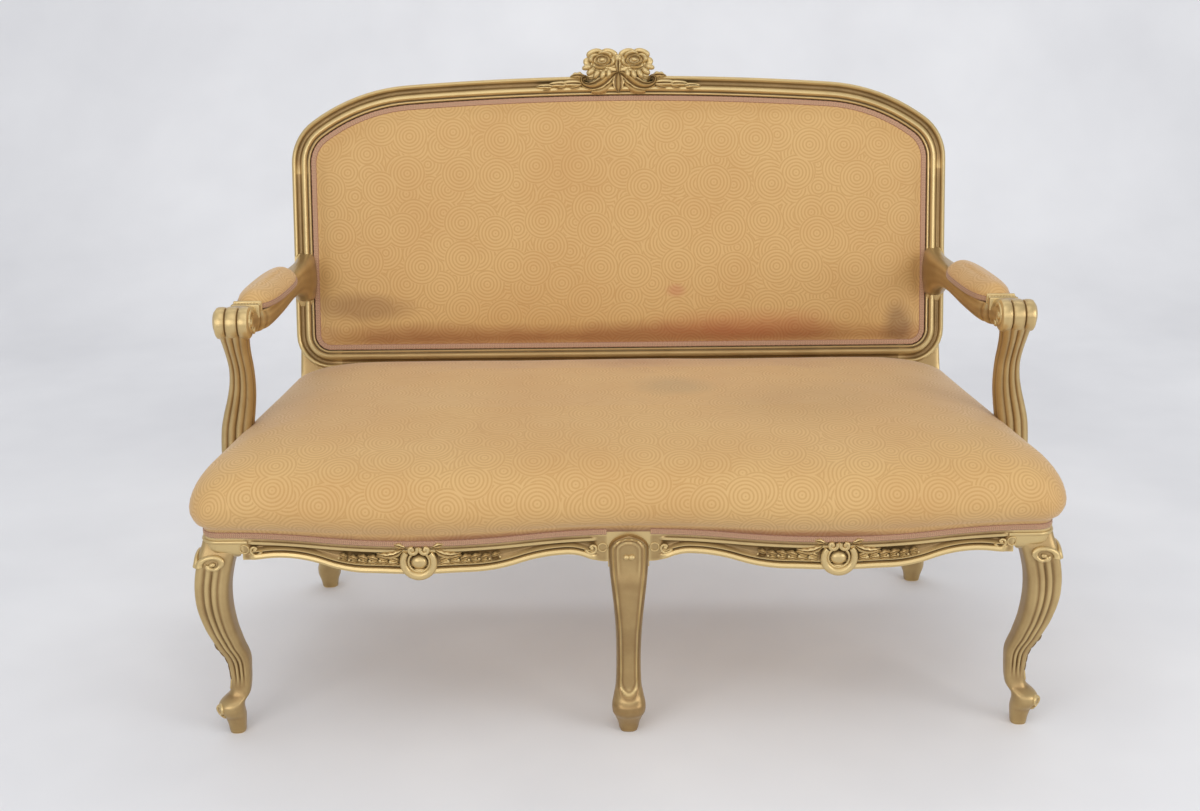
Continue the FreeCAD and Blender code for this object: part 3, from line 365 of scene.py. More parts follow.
def rail_front(x):
    """Front face of the seat frame at x."""
    ends = frame_half_width - frame_corner
    return wavy(x, ((0.0, rail_face), (bow_at, rail_face - rail_bow), (ends, rail_face)))


def on_rail(x, z, out):
    """Ground on the front rail: along it, height, and out from its face."""
    return Vector((x, rail_front(x) - out, z))


def rail_dip(x):
    """The braid, and the fillet under it, dip towards the cartouches."""
    return braid_dip * wavy(abs(x), ((0.0, 0.0), (bow_at, 1.0), (frame_half_width - frame_corner, 0.0)))


def rail_section(x):
    """Section of the front rail at x: out from its face, and height. It dies away beside the legs."""
    carved = ease((x - rail_inner - 0.012) / 0.016) * ease((rail_outer - 0.006 - x) / 0.012)
    foot, top = wavy(x, rail_foot), hollow_top - rail_dip(x)
    bottom = foot + rail_bead[-1][1]
    front = [(out, foot + rise) for out, rise in rail_bead]
    front += [(-hollow_depth * math.sin(math.pi * t) ** 0.7 - 0.0006, bottom + (top - bottom) * t)
              for t in (0.2, 0.4, 0.6, 0.8)]
    front += [(out, top + rise) for out, rise in rail_fillet]
    front = [(out * carved, z) for out, z in front] + [(0.0, rail_top)]
    return front + [(-rail_thickness, rail_top), (-rail_thickness, foot), (0.0, foot)]


def rail_body():
    """The rail itself, its section drawn from the middle leg to the corner leg."""
    sections = []
    for i in range(rail_steps + 1):
        x = rail_inner + (rail_outer - rail_inner) * i / rail_steps
        sections.append([on_rail(x, z, out) for out, z in rail_section(x)])
    return drawn(rail_steps, len(sections[0]) - 1, lambda i, j: sections[i][j])


def cartouche():
    """C-scroll ring, open at the top with a lobe at each end, round a cabochon, and leaves beside it."""
    middle = (bow_at, cartouche_z)
    opening = 52
    ring = spiral(middle, 0.0215, 0.0240, 90 + opening, (360 - 2 * opening) / 360)
    parts = [strand(ring, lambda t: 0.0046 + 0.0022 * math.sin(math.pi * t), steps=36, out=0.003)]
    inner_ring = spiral(middle, 0.0158, 0.0158, 90 + opening - 12, (384 - 2 * opening) / 360)
    parts.append(strand(inner_ring, lambda t: 0.0018, steps=32, out=0.004))
    shield = bead((0, 0), 0.0125, 0.62)
    bmesh.ops.scale(shield, vec=(1.05, 0.86, 1), verts=shield.verts)
    bmesh.ops.translate(shield, vec=(middle[0], middle[1] - 0.0015, 0), verts=shield.verts)
    parts.append(shield)
    # Away from the middle, up, length, width, turn, bend, height, lobes
    leaves = ((0.024, 0.019, 0.040, 0.012, -130, 62, 0.008, 4),
              (0.020, 0.022, 0.020, 0.009, -60, -30, 0.006, 2))
    for side in (-1, 1):
        lobe = (middle[0] + side * 0.0095, middle[1] + 0.0195)
        curl = spiral(lobe, 0.0078, 0.003, 90 + side * 60, side * 0.85)
        parts.append(strand(curl, lambda t: 0.0032, steps=20, out=0.004))
        parts.append(bead(lobe, 0.0036, out=0.004))
        for away, up, length, width, turn, bend, high, lobes in leaves:
            foot = (middle[0] + side * away, middle[1] + up)
            parts.append(leaf(foot, length, width, 90 + side * turn, side * bend, high, lobes))
    return [laid(part, on_rail) for part in parts]


def leaf_spray(side):
    """Spray of small overlapping leaves and beads in the rail's hollow, from the cartouche outwards."""
    parts = []
    # Up, length, width, turn, bend, height
    leaves = ((0.002, 0.021, 0.0095, -62, -26, 0.0062), (0.0, 0.020, 0.0085, -112, 24, 0.0054))
    for step in range(6):
        x = bow_at + side * (0.030 + 0.0155 * step)
        z = wavy(x, rail_foot) + 0.0195 + 0.001 * (step % 2)
        size = 1.0 - 0.07 * step
        for up, length, width, turn, bend, high in leaves:
            parts.append(leaf((x, z + up), length * size, width * size, 90 + side * turn, side * bend, high,
                              2, 12, 8))
        parts.append(bead((x + side * 0.013, z + 0.0005), 0.0026 * size, out=0.003))
    return [laid(part, on_rail) for part in parts]


def rail_end(x, side):
    """Small scroll from which the rail's mouldings spring beside a leg, round a shallow oval."""
    z = 0.5 * (wavy(x, rail_foot) + 0.335) + 0.001
    curl = spiral((x, z), 0.0098, 0.0030, 90 - side * 100, -side * 0.9)
    oval = spiral((x - side * 0.016, z + 0.001), 0.0066, 0.0066, 0, 1.0)
    parts = [strand(curl, lambda t: 0.0026 - 0.0008 * t, steps=24, out=0.0006),
             strand(oval, lambda t: 0.0012, steps=24, out=0.0004), bead((x, z), 0.0030, out=0.001)]
    return [laid(part, on_rail) for part in parts]


front_rail = [rail_body()] + cartouche() + leaf_spray(1) + leaf_spray(-1)
front_rail += rail_end(rail_outer - 0.019, -1) + rail_end(rail_inner + 0.024, 1)
finished_pair("front_rail", front_rail, gilt, "gilt_wood", ["seat_rail_front"])


# Front legs
# Cabriole legs of beech, each carved from one block: fluted on both outer faces, with a scroll at the knee,
# leaves down the ankle, and a curled toe on a short tapered pad. The square head takes both rails' tenons.
corner_foot = Vector((0.618, -0.284, 0.0))
leg_steps, leg_sides = 110, 96
head_side, head_front = 0.6422, rail_face - 0.0003
head_inner, head_rear = 0.5795, -0.2525
# Height, lean outwards, half width, squareness
corner_leg = (
    (0.000, 0.0000, 0.0118, 2.4), (0.004, 0.0000, 0.0128, 2.4), (0.016, 0.0003, 0.0142, 2.4),
    (0.028, 0.0015, 0.0165, 2.3), (0.036, 0.0042, 0.0192, 2.2), (0.046, 0.0060, 0.0205, 2.2),
    (0.055, 0.0035, 0.0195, 2.3), (0.064, -0.0055, 0.0168, 2.6), (0.078, -0.0095, 0.0153, 3.0),
    (0.100, -0.0105, 0.0157, 3.2), (0.125, -0.0090, 0.0175, 3.4), (0.153, -0.0002, 0.0200, 3.6),
    (0.187, 0.0085, 0.0225, 3.8), (0.226, 0.0140, 0.0250, 4.0), (0.258, 0.0140, 0.0262, 4.2),
    (0.285, 0.0102, 0.0272, 4.4), (0.308, 0.0045, 0.0280, 5.0), (0.330, -0.0035, 0.0290, 6.0),
    (0.345, -0.0070, 0.0300, 7.0),
)


def along(stations, share):
    """A row of a table of stations at a share of its length, run smoothly through its rows."""
    place = min(max(share, 0.0), 1.0) * (len(stations) - 1)
    k = min(int(place), len(stations) - 2)
    t = place - k
    rows = [np.array(stations[min(max(k + step, 0), len(stations) - 1)]) for step in (-1, 0, 1, 2)]
    a, b, c, d = rows
    twice = 2 * b + (c - a) * t + (2 * a - 5 * b + 4 * c - d) * t * t + (3 * b - a - 3 * c + d) * t ** 3
    return twice / 2


def soft_square(turn, squareness):
    """Distance from the middle to a soft square's edge, for a half width of 1."""
    c, s = abs(math.cos(turn)), abs(math.sin(turn))
    return (c ** squareness + s ** squareness) ** (-1 / squareness)


def leg_at(height, degrees, out=0.0):
    """Point of the right corner leg's surface; degrees are from its outer diagonal, positive to the side."""
    heights = [row[0] for row in corner_leg]
    share = float(np.interp(height, heights, np.linspace(0, 1, len(heights))))
    z, lean, half, squareness = along(corner_leg, share)
    turn = math.radians(degrees - 45)
    fluted = ease((height - 0.075) / 0.03) * ease((0.303 - height) / 0.02)
    away = abs(degrees)
    carve = 0.0016 * bump_at(away, 0, 9) - 0.0026 * bump_at(away, 20, 5) - 0.0024 * bump_at(away, 44, 4.5)
    carve += 0.0008 * bump_at(away, 32, 6) + 0.0010 * bump_at(away, 56, 6) - 0.0016 * bump_at(away, 68, 4)
    reach = half * soft_square(turn, squareness) + fluted * carve + out
    x = corner_foot.x + lean + reach * math.cos(turn)
    y = corner_foot.y - lean + reach * math.sin(turn)
    return Vector((x, y, height))


def on_leg(height, degrees):
    """Ground on the leg round a place on it: along its girth, up, and out."""
    girth = 0.022
    return lambda a, b, out: leg_at(height + b, degrees + math.degrees(a / girth), out)


def arc_points(centre, radius, start, end, count):
    """Points at count equal steps of an arc, its last point left out; degrees run from +X to +Y."""
    turns = [math.radians(start + (end - start) * i / count) for i in range(count)]
    return [(centre[0] + radius * math.cos(turn), centre[1] + radius * math.sin(turn)) for turn in turns]


def leg_head():
    """Square head of the corner leg, flush with both rails, round on its outer corner, swept in below."""
    # Height, how far it is swept in
    heights = ((0.3050, 0.016), (0.3062, 0.0115), (0.308, 0.0080), (0.311, 0.0046), (0.316, 0.0018),
               (0.322, 0.0), (0.345, 0.0))

    def place(i, j):
        z, shy = heights[i]
        x, y = head_side - shy, head_front + shy
        corner = arc_points((x - frame_corner, y + frame_corner), frame_corner, -90, 9, 11)
        inner, rear = head_inner + shy, head_rear - shy
        outline = [(inner, y)] + corner + [(x, rear), (inner, rear)]
        return (*outline[j % len(outline)], z)
    return drawn(len(heights) - 1, 14, place)


def head_fillet():
    """The rail's top fillet carried round the leg's head."""
    plan = [(0.572, head_front, 0.0), (0.590, head_front, 0.0)]
    corner = arc_points((head_side - frame_corner, head_front + frame_corner), frame_corner, -90, 6, 16)
    plan += [(x, y, 6.0 * k) for k, (x, y) in enumerate(corner)]
    plan += [(head_side, -0.262, 90.0)]

    def place(i, j):
        x, y, facing = plan[i]
        turn = 2 * math.pi * j / 10
        out, z = 0.0022 * math.cos(turn) + 0.0004, 0.3342 + 0.0030 * math.sin(turn)
        return (x + out * math.sin(math.radians(facing)), y - out * math.cos(math.radians(facing)), z)
    return drawn(len(plan) - 1, 10, place)


def corner_leg_parts():
    """Shaft, head and fillet of the right corner leg, and its carving."""
    rows = np.interp(np.linspace(0, 1, leg_steps + 1), np.linspace(0, 1, len(corner_leg)),
                     [row[0] for row in corner_leg])
    shaft = drawn(leg_steps, leg_sides, lambda i, j: leg_at(rows[i], 360 * (j % leg_sides) / leg_sides - 180))
    parts = [shaft, leg_head(), head_fillet()]
    for side in (-1, 1):
        ground = on_leg(0.300, 45 * side)
        lip = spiral((-side * 0.001, 0.0), 0.0140, 0.0045, 90 + side * 110, -side * 1.05)
        parts.append(laid(strand(lip, lambda t: 0.0038 - 0.0012 * t, steps=30, out=0.0022), ground))
        parts.append(laid(bead((-side * 0.001, 0.0), 0.0034, out=0.0024), ground))
    for step in range(6):
        height = 0.072 + 0.0145 * step
        ground = on_leg(height, 28 - 3 * step)
        size = 1 - 0.06 * step
        for degrees, bend in ((62, 34), (118, -34)):
            ankle_leaf = leaf((0, 0), 0.022 * size, 0.011 * size, degrees, bend, 0.0026, 1, 12, 8)
            parts.append(laid(ankle_leaf, ground))
    curl = spiral((0.0, 0.0), 0.0125, 0.0035, -100, 1.1)
    parts.append(laid(strand(curl, lambda t: 0.0030 - 0.0012 * t, steps=26, out=0.0006), on_leg(0.045, 0)))
    return parts


finished_pair("front_leg", corner_leg_parts(), gilt, "gilt_wood", ["front_leg"], 60)


# Middle front leg
# Cabriole leg of beech that steps forward between the two rails. It is carved with a raised rim round a long
# panel, arched at the head over a double bead, and both rails are tenoned into its block.
# Height, lean forwards, half width, half depth, squareness
centre_leg = (
    (0.000, -0.0060, 0.0135, 0.0125, 2.4), (0.004, -0.0060, 0.0150, 0.0135, 2.4),
    (0.016, -0.0045, 0.0175, 0.0155, 2.4), (0.028, 0.0000, 0.0215, 0.0180, 2.3),
    (0.038, 0.0045, 0.0255, 0.0218, 2.2), (0.050, 0.0045, 0.0262, 0.0222, 2.3),
    (0.060, -0.0005, 0.0238, 0.0195, 2.6), (0.075, -0.0085, 0.0205, 0.0168, 3.0),
    (0.100, -0.0112, 0.0193, 0.0167, 3.4), (0.125, -0.0105, 0.0190, 0.0180, 3.6),
    (0.155, -0.0025, 0.0195, 0.0200, 3.8), (0.190, 0.0080, 0.0206, 0.0220, 4.0),
    (0.230, 0.0150, 0.0235, 0.0240, 4.2), (0.262, 0.0140, 0.0268, 0.0250, 4.6),
    (0.288, 0.0075, 0.0295, 0.0250, 5.0), (0.310, 0.0030, 0.0305, 0.0245, 6.0),
    (0.341, 0.0000, 0.0305, 0.0240, 6.0),
)
centre_foot_y = -0.298
arch_centre = 0.318
arch_top = 0.3405


def centre_leg_at(height, degrees, out=0.0):
    """Point of the middle leg's surface; degrees are from its front."""
    heights = [row[0] for row in centre_leg]
    share = float(np.interp(height, heights, np.linspace(0, 1, len(heights))))
    z, lean, half_width, half_depth, squareness = along(centre_leg, share)
    turn = math.radians(degrees - 90)
    edge = soft_square(turn, squareness)
    x, y = half_width * edge * math.cos(turn), half_depth * edge * math.sin(turn)
    if height > arch_centre:
        rise = (height - arch_centre) / (arch_top - arch_centre)
        x *= max(0.0, 1 - rise ** 2) ** 0.5
    front = max(0.0, math.cos(math.radians(degrees))) ** 0.5
    rise = max(0.0, height - arch_centre) / (arch_top - arch_centre)
    low = max(0.0, 0.088 - height) / 0.030
    inside = half_width * (1 - math.hypot(x / half_width, rise + low))
    fade = ease((height - 0.050) / 0.008)
    carve = 0.0018 * bump_at(inside, 0.0032, 0.0026) - 0.0024 * bump_at(inside, 0.0072, 0.0016)
    carve += 0.0008 * bump_at(inside, 0.0105, 0.0016) * ease((height - 0.27) / 0.03)
    carve -= 0.0012 * bump_at(inside, 0.0135, 0.0016) * ease((height - 0.27) / 0.03)
    y -= front * fade * carve + out
    return Vector((x, centre_foot_y - lean + y, height))


def on_centre_leg(height):
    """Ground on the middle leg's front round a height: along its girth, up, and out."""
    return lambda a, b, out: centre_leg_at(height + b, math.degrees(a / 0.026), out)


def box(low, high, bevel=0.0):
    """A planed block between two corners, its edges eased where a bevel is given."""
    bm = bmesh.new()
    bmesh.ops.create_cube(bm, size=1)
    for vert in bm.verts:
        vert.co = [l + (h - l) * (c + 0.5) for l, h, c in zip(low, high, vert.co)]
    if bevel:
        bmesh.ops.bevel(bm, geom=bm.edges[:], offset=bevel, affect="EDGES", segments=3, profile=0.5,
                        material=-1)
    return bm


def centre_leg_parts():
    """The middle leg, the plain block behind its head, and the double bead."""
    low = np.interp(np.linspace(0, 1, 100), np.linspace(0, 1, len(centre_leg) - 1),
                    [row[0] for row in centre_leg[:-1]])
    arch = np.linspace(0, math.pi / 2, 17)[1:]
    rows = sorted(set(float(z) for z in low if z < arch_centre)) + [arch_centre]
    rows += [arch_centre + (arch_top - arch_centre) * math.sin(turn) for turn in arch]
    sides = 112
    leg = drawn(len(rows) - 1, sides, lambda i, j: centre_leg_at(rows[i], 360 * (j % sides) / sides - 180))
    head = box((-rail_inner, rail_face, rail_top - 0.057), (rail_inner, rail_face + 0.052, rail_top))
    ground = on_centre_leg(0.308)
    beads = [laid(bead((x, 0.0), radius, 0.9), ground) for x, radius in ((-0.0032, 0.0040), (0.0036, 0.0044))]
    return [leg, head] + beads


finished("front_leg_centre_carved", centre_leg_parts(), gilt, "gilt_wood", ["front_leg_centre"], 50)


# Rear legs and stiles
# Each rear leg and its stile are one length of beech, raked above the seat, and carry the moulded side of the
# back frame; the arm butts on a plain boss. The top and bottom rails are dowelled between them, and the
# moulding runs round all four in one line.
back_rake = math.radians(12)
back_foot = Vector((0.0, 0.2573, 0.436))
back_half_width, back_height = 0.585, 0.518
# The moulding from the outside in: distance from the edge, height over the rear face
moulding = (
    (0.0, 0.0), (0.0, 0.0255), (0.0004, 0.0282), (0.0018, 0.0306), (0.0043, 0.0316), (0.0066, 0.0304),
    (0.0078, 0.0280), (0.0086, 0.0262), (0.0102, 0.0251), (0.0126, 0.0248), (0.0148, 0.0254),
    (0.0162, 0.0268), (0.0170, 0.0294), (0.0186, 0.0320), (0.0212, 0.0338), (0.0240, 0.0339),
    (0.0262, 0.0322), (0.0272, 0.0296), (0.0278, 0.0276), (0.0289, 0.0274), (0.0298, 0.0289),
    (0.0312, 0.0293), (0.0324, 0.0284), (0.0330, 0.0266), (0.0331, 0.0160), (0.0500, 0.0160), (0.0500, 0.0),
)


def on_back(x, v, level):
    """Place of a point of the back: across, up the raked frame, and over its rear face."""
    lean = Vector((x, v * math.sin(back_rake) - level * math.cos(back_rake),
                   v * math.cos(back_rake) + level * math.sin(back_rake)))
    return back_foot + lean


def straight(a, b, count):
    """Points at count equal steps of a line, its last point left out."""
    return [(a[0] + (b[0] - a[0]) * i / count, a[1] + (b[1] - a[1]) * i / count) for i in range(count)]


def back_edge(inset, corner=None, shoulder=None):
    """Closed outline of the back, inset from the frame's edge, from the middle of its foot round the right.
    Five arcs and three straight runs make it: two corners, two haunches and shoulders, and the arched top."""
    corner = 0.062 - inset if corner is None else corner
    shoulder = 0.092 - inset if shoulder is None else shoulder
    haunch, side, top = 0.330 - inset, back_half_width - inset, back_height - inset
    turn, end = math.radians(54), math.radians(86)
    haunch_x = side - shoulder + (shoulder - haunch) * math.cos(turn)
    end_x = haunch_x + haunch * math.cos(end)
    arch = end_x / math.cos(end)
    haunch_v = top - arch + (arch - haunch) * math.sin(end)
    shoulder_v = haunch_v + (haunch - shoulder) * math.sin(turn)
    half = straight((0, inset), (side - corner, inset), 28)
    half += arc_points((side - corner, inset + corner), corner, -90, 0, 8)
    half += straight((side, inset + corner), (side, shoulder_v), 16)
    half += arc_points((side - shoulder, shoulder_v), shoulder, 0, 54, 8)
    half += arc_points((haunch_x, haunch_v), haunch, 54, 86, 10)
    half += arc_points((0, top - arch), arch, 86, 90, 22) + [(0, top)]
    return half + [(-x, v) for x, v in half[-2:0:-1]]


def back_frame_ring():
    """The moulding drawn right round the back's outline, before it is sawn into stiles and rails."""
    rings = [back_edge(inset) for inset, level in moulding]
    count = len(rings[0])

    def place(i, j):
        k = j % len(moulding)
        return (*rings[k][i % count], moulding[k][1])
    return drawn(count, len(moulding), place, ends=False)


def sawn(bm, *cuts):
    """Cuts away what lies beyond each plane, given by a point on it and its outward direction."""
    for point, outward in cuts:
        everything = bm.verts[:] + bm.edges[:] + bm.faces[:]
        bmesh.ops.bisect_plane(bm, geom=everything, dist=1e-7, plane_co=point, plane_no=outward,
                               clear_outer=True)
        bmesh.ops.holes_fill(bm, edges=[e for e in bm.edges if e.is_boundary], sides=0)
    bmesh.ops.recalc_face_normals(bm, faces=bm.faces)
    return bm


# Where the top rail and the bottom rail meet the stiles, and the bottom rail's top edge
rail_joint, bottom_joint, bottom_rail_top = 0.352, 0.505, 0.0511
rear_leg_x = 0.558
# Height, middle along Y, half width, half depth, squareness
rear_leg = (
    (0.000, 0.2643, 0.0140, 0.0140, 2.6), (0.014, 0.2633, 0.0165, 0.0165, 2.6),
    (0.026, 0.2643, 0.0205, 0.0205, 2.6), (0.040, 0.2623, 0.0207, 0.0212, 2.8),
    (0.054, 0.2533, 0.0170, 0.0170, 3.0), (0.090, 0.2423, 0.0160, 0.0170, 4.0),
    (0.140, 0.2313, 0.0175, 0.0190, 5.0), (0.200, 0.2213, 0.0195, 0.0220, 6.0),
    (0.250, 0.2163, 0.0215, 0.0240, 8.0), (0.288, 0.2158, 0.0220, 0.0245, 10.0),
    (0.345, 0.2160, 0.0220, 0.0245, 10.0), (0.420, 0.2370, 0.0220, 0.0160, 8.0),
    (0.482, 0.2576, 0.0220, 0.0085, 8.0),
)


def rear_leg_and_stile():
    """The right rear leg below the seat, the moulded stile above it, and the boss for the arm."""
    def place(i, j):
        z, y, half_width, half_depth, squareness = along(rear_leg, i / 90)
        turn = math.pi * (j % 48) / 24
        reach = soft_square(turn, squareness)
        return (rear_leg_x + half_width * reach * math.cos(turn), y + half_depth * reach * math.sin(turn), z)
    side = sawn(back_frame_ring(), ((0, 0, 0), (-1, 0, 0)), ((0, rail_joint, 0), (0, 1, 0)))
    foot = sawn(side.copy(), ((0, bottom_rail_top, 0), (0, 1, 0)), ((bottom_joint, 0, 0), (-1, 0, 0)))
    side = sawn(side, ((0, bottom_rail_top, 0), (0, -1, 0)))
    # The boss: how far up the stile, its level over the rear face
    swell = ((0.110, 0.012), (0.114, 0.026), (0.126, 0.033), (0.140, 0.037), (0.186, 0.037), (0.199, 0.034),
             (0.208, 0.028), (0.212, 0.012))
    inner, outer, root = 0.5535, 0.5835, 0.010

    def boss_corner(i, j):
        up, level = swell[i]
        x, level = ((inner, root), (outer, root), (outer, level), (inner, level))[j % 4]
        return (x, up, level)
    boss = drawn(len(swell) - 1, 4, boss_corner)
    return [drawn(90, 48, place)] + [laid(part, on_back) for part in (side, foot, boss)]


finished_pair("rear_leg", rear_leg_and_stile(), gilt, "gilt_wood", ["rear_leg_and_stile"])
back_top = laid(sawn(back_frame_ring(), ((0, rail_joint, 0), (0, -1, 0))), on_back)
finished("back_top_rail_moulded", [back_top], gilt, "gilt_wood", ["back_top_rail"])
back_bottom = sawn(back_frame_ring(), ((0, bottom_rail_top, 0), (0, 1, 0)), ((bottom_joint, 0, 0), (1, 0, 0)),
                   ((-bottom_joint, 0, 0), (-1, 0, 0)))
finished("back_bottom_rail_moulded", [laid(back_bottom, on_back)], gilt, "gilt_wood", ["back_bottom_rail"])


# Crest
# Carved from its own block of beech and glued over the moulding: two full roses over a spray of buds,
# acanthus leaves that curl into a scroll on each side, a pendant leaf between, and leaf sprays that trail
# along the rail.


def on_crest(level):
    """Ground of the crest at a level over the back's rear face: across, up from the top edge, and out."""
    return lambda a, b, out: on_back(a, back_height + b, level + out)


def petal(centre, degrees, spread, radius, rise):
    """A fat rose petal with a rolled rim that falls away at its sides."""
    section = ((0.40, 0.0), (0.80, 0.10), (1.0, 0.40), (1.08, 0.74), (1.03, 0.95), (0.90, 1.03), (0.76, 0.92),
               (0.70, 0.66), (0.58, 0.34), (0.30, 0.10))

    def place(i, j):
        w = i / 8 - 1
        turn = math.radians(degrees + spread * w)
        share, height = section[j % len(section)]
        reach = radius * share * (1 - 0.20 * abs(w) ** 3)
        return (centre[0] + reach * math.cos(turn), centre[1] + reach * math.sin(turn),
                rise * height * (1 - 0.42 * abs(w) ** 2.5))
    return drawn(16, len(section), place)


def rose(centre):
    """A full-blown rose: three rounds of petals over a boss, and a bud in the middle."""
    parts = [bead(centre, 0.0200, 0.50)]
    rounds = ((5, 0.0232, 0.0105, 54), (4, 0.0165, 0.0150, 20), (3, 0.0095, 0.0180, 70))
    for count, radius, rise, start in rounds:
        parts += [petal(centre, start + 360 * k / count, 186 / count, radius, rise) for k in range(count)]
    return parts + [bead(centre, 0.0042, 1.0, 0.0150)]


def frond(spine, high, ribs=3, steps=40, across=16, teeth=9):
    """Acanthus leaf along a spine of (along, up, width) points, ribbed from end to end, its edge toothed."""
    def place(i, j):
        t = i / steps
        a, b, width = along(spine, t)
        before, after = along(spine, t - 0.01), along(spine, t + 0.01)
        run = Vector((after[0] - before[0], after[1] - before[1])).normalized()
        w = math.cos(math.pi * j / across)
        edge = width / 2 * (1 + 0.10 * abs(w) ** 4 * math.cos(2 * math.pi * teeth * t))
        top = j <= across
        swell = (1 - w * w) ** 0.5 * (0.72 + 0.28 * math.cos(2 * math.pi * ribs * w / 2))
        rise = high * swell * math.sin(math.pi * (0.10 + 0.80 * t)) ** 0.5 if top else -0.25 * high
        return (a - run.y * edge * w, b + run.x * edge * w, rise)
    return drawn(steps, 2 * across, place)


def on_rose(a, b, out):
    """Ground of the right rose, which is broader than it is high."""
    return on_crest(0.022)(0.0285 + 1.36 * a, 0.0272 + 0.90 * b, out)


def crest_side():
    """The right half of the crest: rose, buds, acanthus and trailing leaves."""
    parts = [laid(part, on_rose) for part in rose((0.0, 0.0))]
    # Buds: across, up, turn
    buds = ((0.0165, 0.0030, -88), (0.0275, 0.0015, -72), (0.0385, 0.0025, -58), (0.0490, 0.0070, -38),
            (0.0560, 0.0145, -16))
    for x, v, degrees in buds:
        bud = laid(bead((0, 0), 0.0066, 0.9), lambda a, b, out: (a * 1.35, b * 0.80, out))
        bmesh.ops.rotate(bud, matrix=Matrix.Rotation(math.radians(degrees), 3, "Z"), verts=bud.verts)
        bmesh.ops.translate(bud, vec=(x, v, 0), verts=bud.verts)
        parts.append(laid(bud, on_crest(0.0345)))
    # Spines of the acanthus and of the leaf under it: across, up, width
    arch = ((0.000, 0.0055, 0.004), (0.008, 0.0040, 0.012), (0.018, -0.0025, 0.019), (0.029, -0.0110, 0.021),
            (0.041, -0.0170, 0.018), (0.053, -0.0180, 0.013), (0.0630, -0.0135, 0.0095),
            (0.0655, -0.0050, 0.0075), (0.0595, -0.0010, 0.006), (0.0545, -0.0050, 0.005),
            (0.0565, -0.0090, 0.0045))
    hem = ((0.010, -0.012, 0.006), (0.022, -0.0225, 0.011), (0.034, -0.0275, 0.011), (0.048, -0.0280, 0.006))
    parts.append(laid(frond(arch, 0.0135, 2), on_crest(0.0300)))
    parts.append(laid(frond(hem, 0.0080, 1, 30, 12, 7), on_crest(0.0300)))
    parts.append(laid(leaf((0.0600, -0.0010), 0.026, 0.0120, 20, -42, 0.0085, 3), on_crest(0.0290)))
    for k in range(3):
        size = 1 - 0.14 * k
        x, v = 0.0640 + 0.0270 * k, -0.0140 - 0.0012 * k * k
        trail = leaf((x, v), 0.040 * size, 0.0150 * size, 6, -14, 0.0085, 1, 18, 12)
        under = leaf((x + 0.0020, v - 0.0040), 0.024 * size, 0.0090 * size, -22, 26, 0.0060, 1, 14, 10)
        parts += [laid(part, on_crest(0.0310)) for part in (trail, under)]
    return parts


def crest_parts():
    """Both halves of the crest, the block behind them, and the pendant leaf in the middle."""
    right = crest_side()
    left = [part.copy() for part in right]
    for part in left:
        bmesh.ops.scale(part, vec=(-1, 1, 1), verts=part.verts)
        bmesh.ops.reverse_faces(part, faces=part.faces)
    outline = ((-0.050, -0.012), (0.050, -0.012), (0.057, 0.006), (0.044, 0.030), (0.0, 0.034),
               (-0.044, 0.030), (-0.057, 0.006))
    block = drawn(1, len(outline), lambda i, j: (*outline[j % len(outline)], 0.0300 if i else 0.012))
    pendant = ((0.0, 0.004, 0.006), (0.0, -0.003, 0.018), (0.0, -0.012, 0.0225), (0.0, -0.021, 0.018),
               (0.0, -0.028, 0.005))
    middle = [frond(pendant, 0.0130, 2, 30, 20, 4), leaf((0.0, 0.004), 0.032, 0.012, 90, 0, 0.0105, 2),
              bead((0.0, 0.0300), 0.0075, 0.9)]
    return right + left + [laid(block, on_crest(0.0))] + [laid(part, on_crest(0.0305)) for part in middle]


finished("crest_carved", crest_parts(), gilt, "gilt_wood", ["crest_carving"], 50)


# Arms and their supports
# Each arm is one carved length of beech, screwed to the stile and ending in a scroll; the S-shaped support
# under it is ribbed down its front and tenoned into the side rail.
scroll = Vector((0.604, -0.1496, 0.630))
arm_rear_x, rear_rail_back = 0.565, 0.2363
pad_step, pad_front, pad_rear = 0.6385, -0.1126, 0.1023
# Share of the length back, share of the spread out, height, half width, half height
arm_line = (
    (1.127, -0.01, 0.602, 0.0195, 0.046), (1.0, 0.0, 0.605, 0.0190, 0.038),
    (0.92, 0.05, 0.613, 0.0190, 0.0285), (0.803, 0.13, 0.620, 0.0200, 0.0215),
    (0.648, 0.23, 0.623, 0.0230, 0.0185), (0.389, 0.31, 0.623, 0.0250, 0.018),
    (0.181, 0.44, 0.6235, 0.0250, 0.0190), (0.098, 0.64, 0.6265, 0.0250, 0.0220),
    (0.052, 0.85, 0.629, 0.0258, 0.0235), (0.0, 1.0, 0.630, 0.0262, 0.0238),
)
# Height, place along X and Y from the scroll, half width, half depth
support_line = (
    (0.343, 0.0170, 0.0460, 0.0262, 0.0275), (0.400, 0.0200, 0.0490, 0.0262, 0.0250),
    (0.442, 0.0190, 0.0520, 0.0255, 0.0220), (0.468, 0.0145, 0.0520, 0.0245, 0.0205),
    (0.495, 0.0085, 0.0490, 0.0222, 0.0192), (0.521, 0.0040, 0.0430, 0.0198, 0.0182),
    (0.547, 0.0015, 0.0340, 0.0184, 0.0177), (0.570, 0.0015, 0.0240, 0.0184, 0.0180),
    (0.592, 0.0015, 0.0130, 0.0198, 0.0195), (0.613, 0.0010, 0.0040, 0.0226, 0.0205),
    (0.628, 0.0000, 0.0000, 0.0240, 0.0180),
)


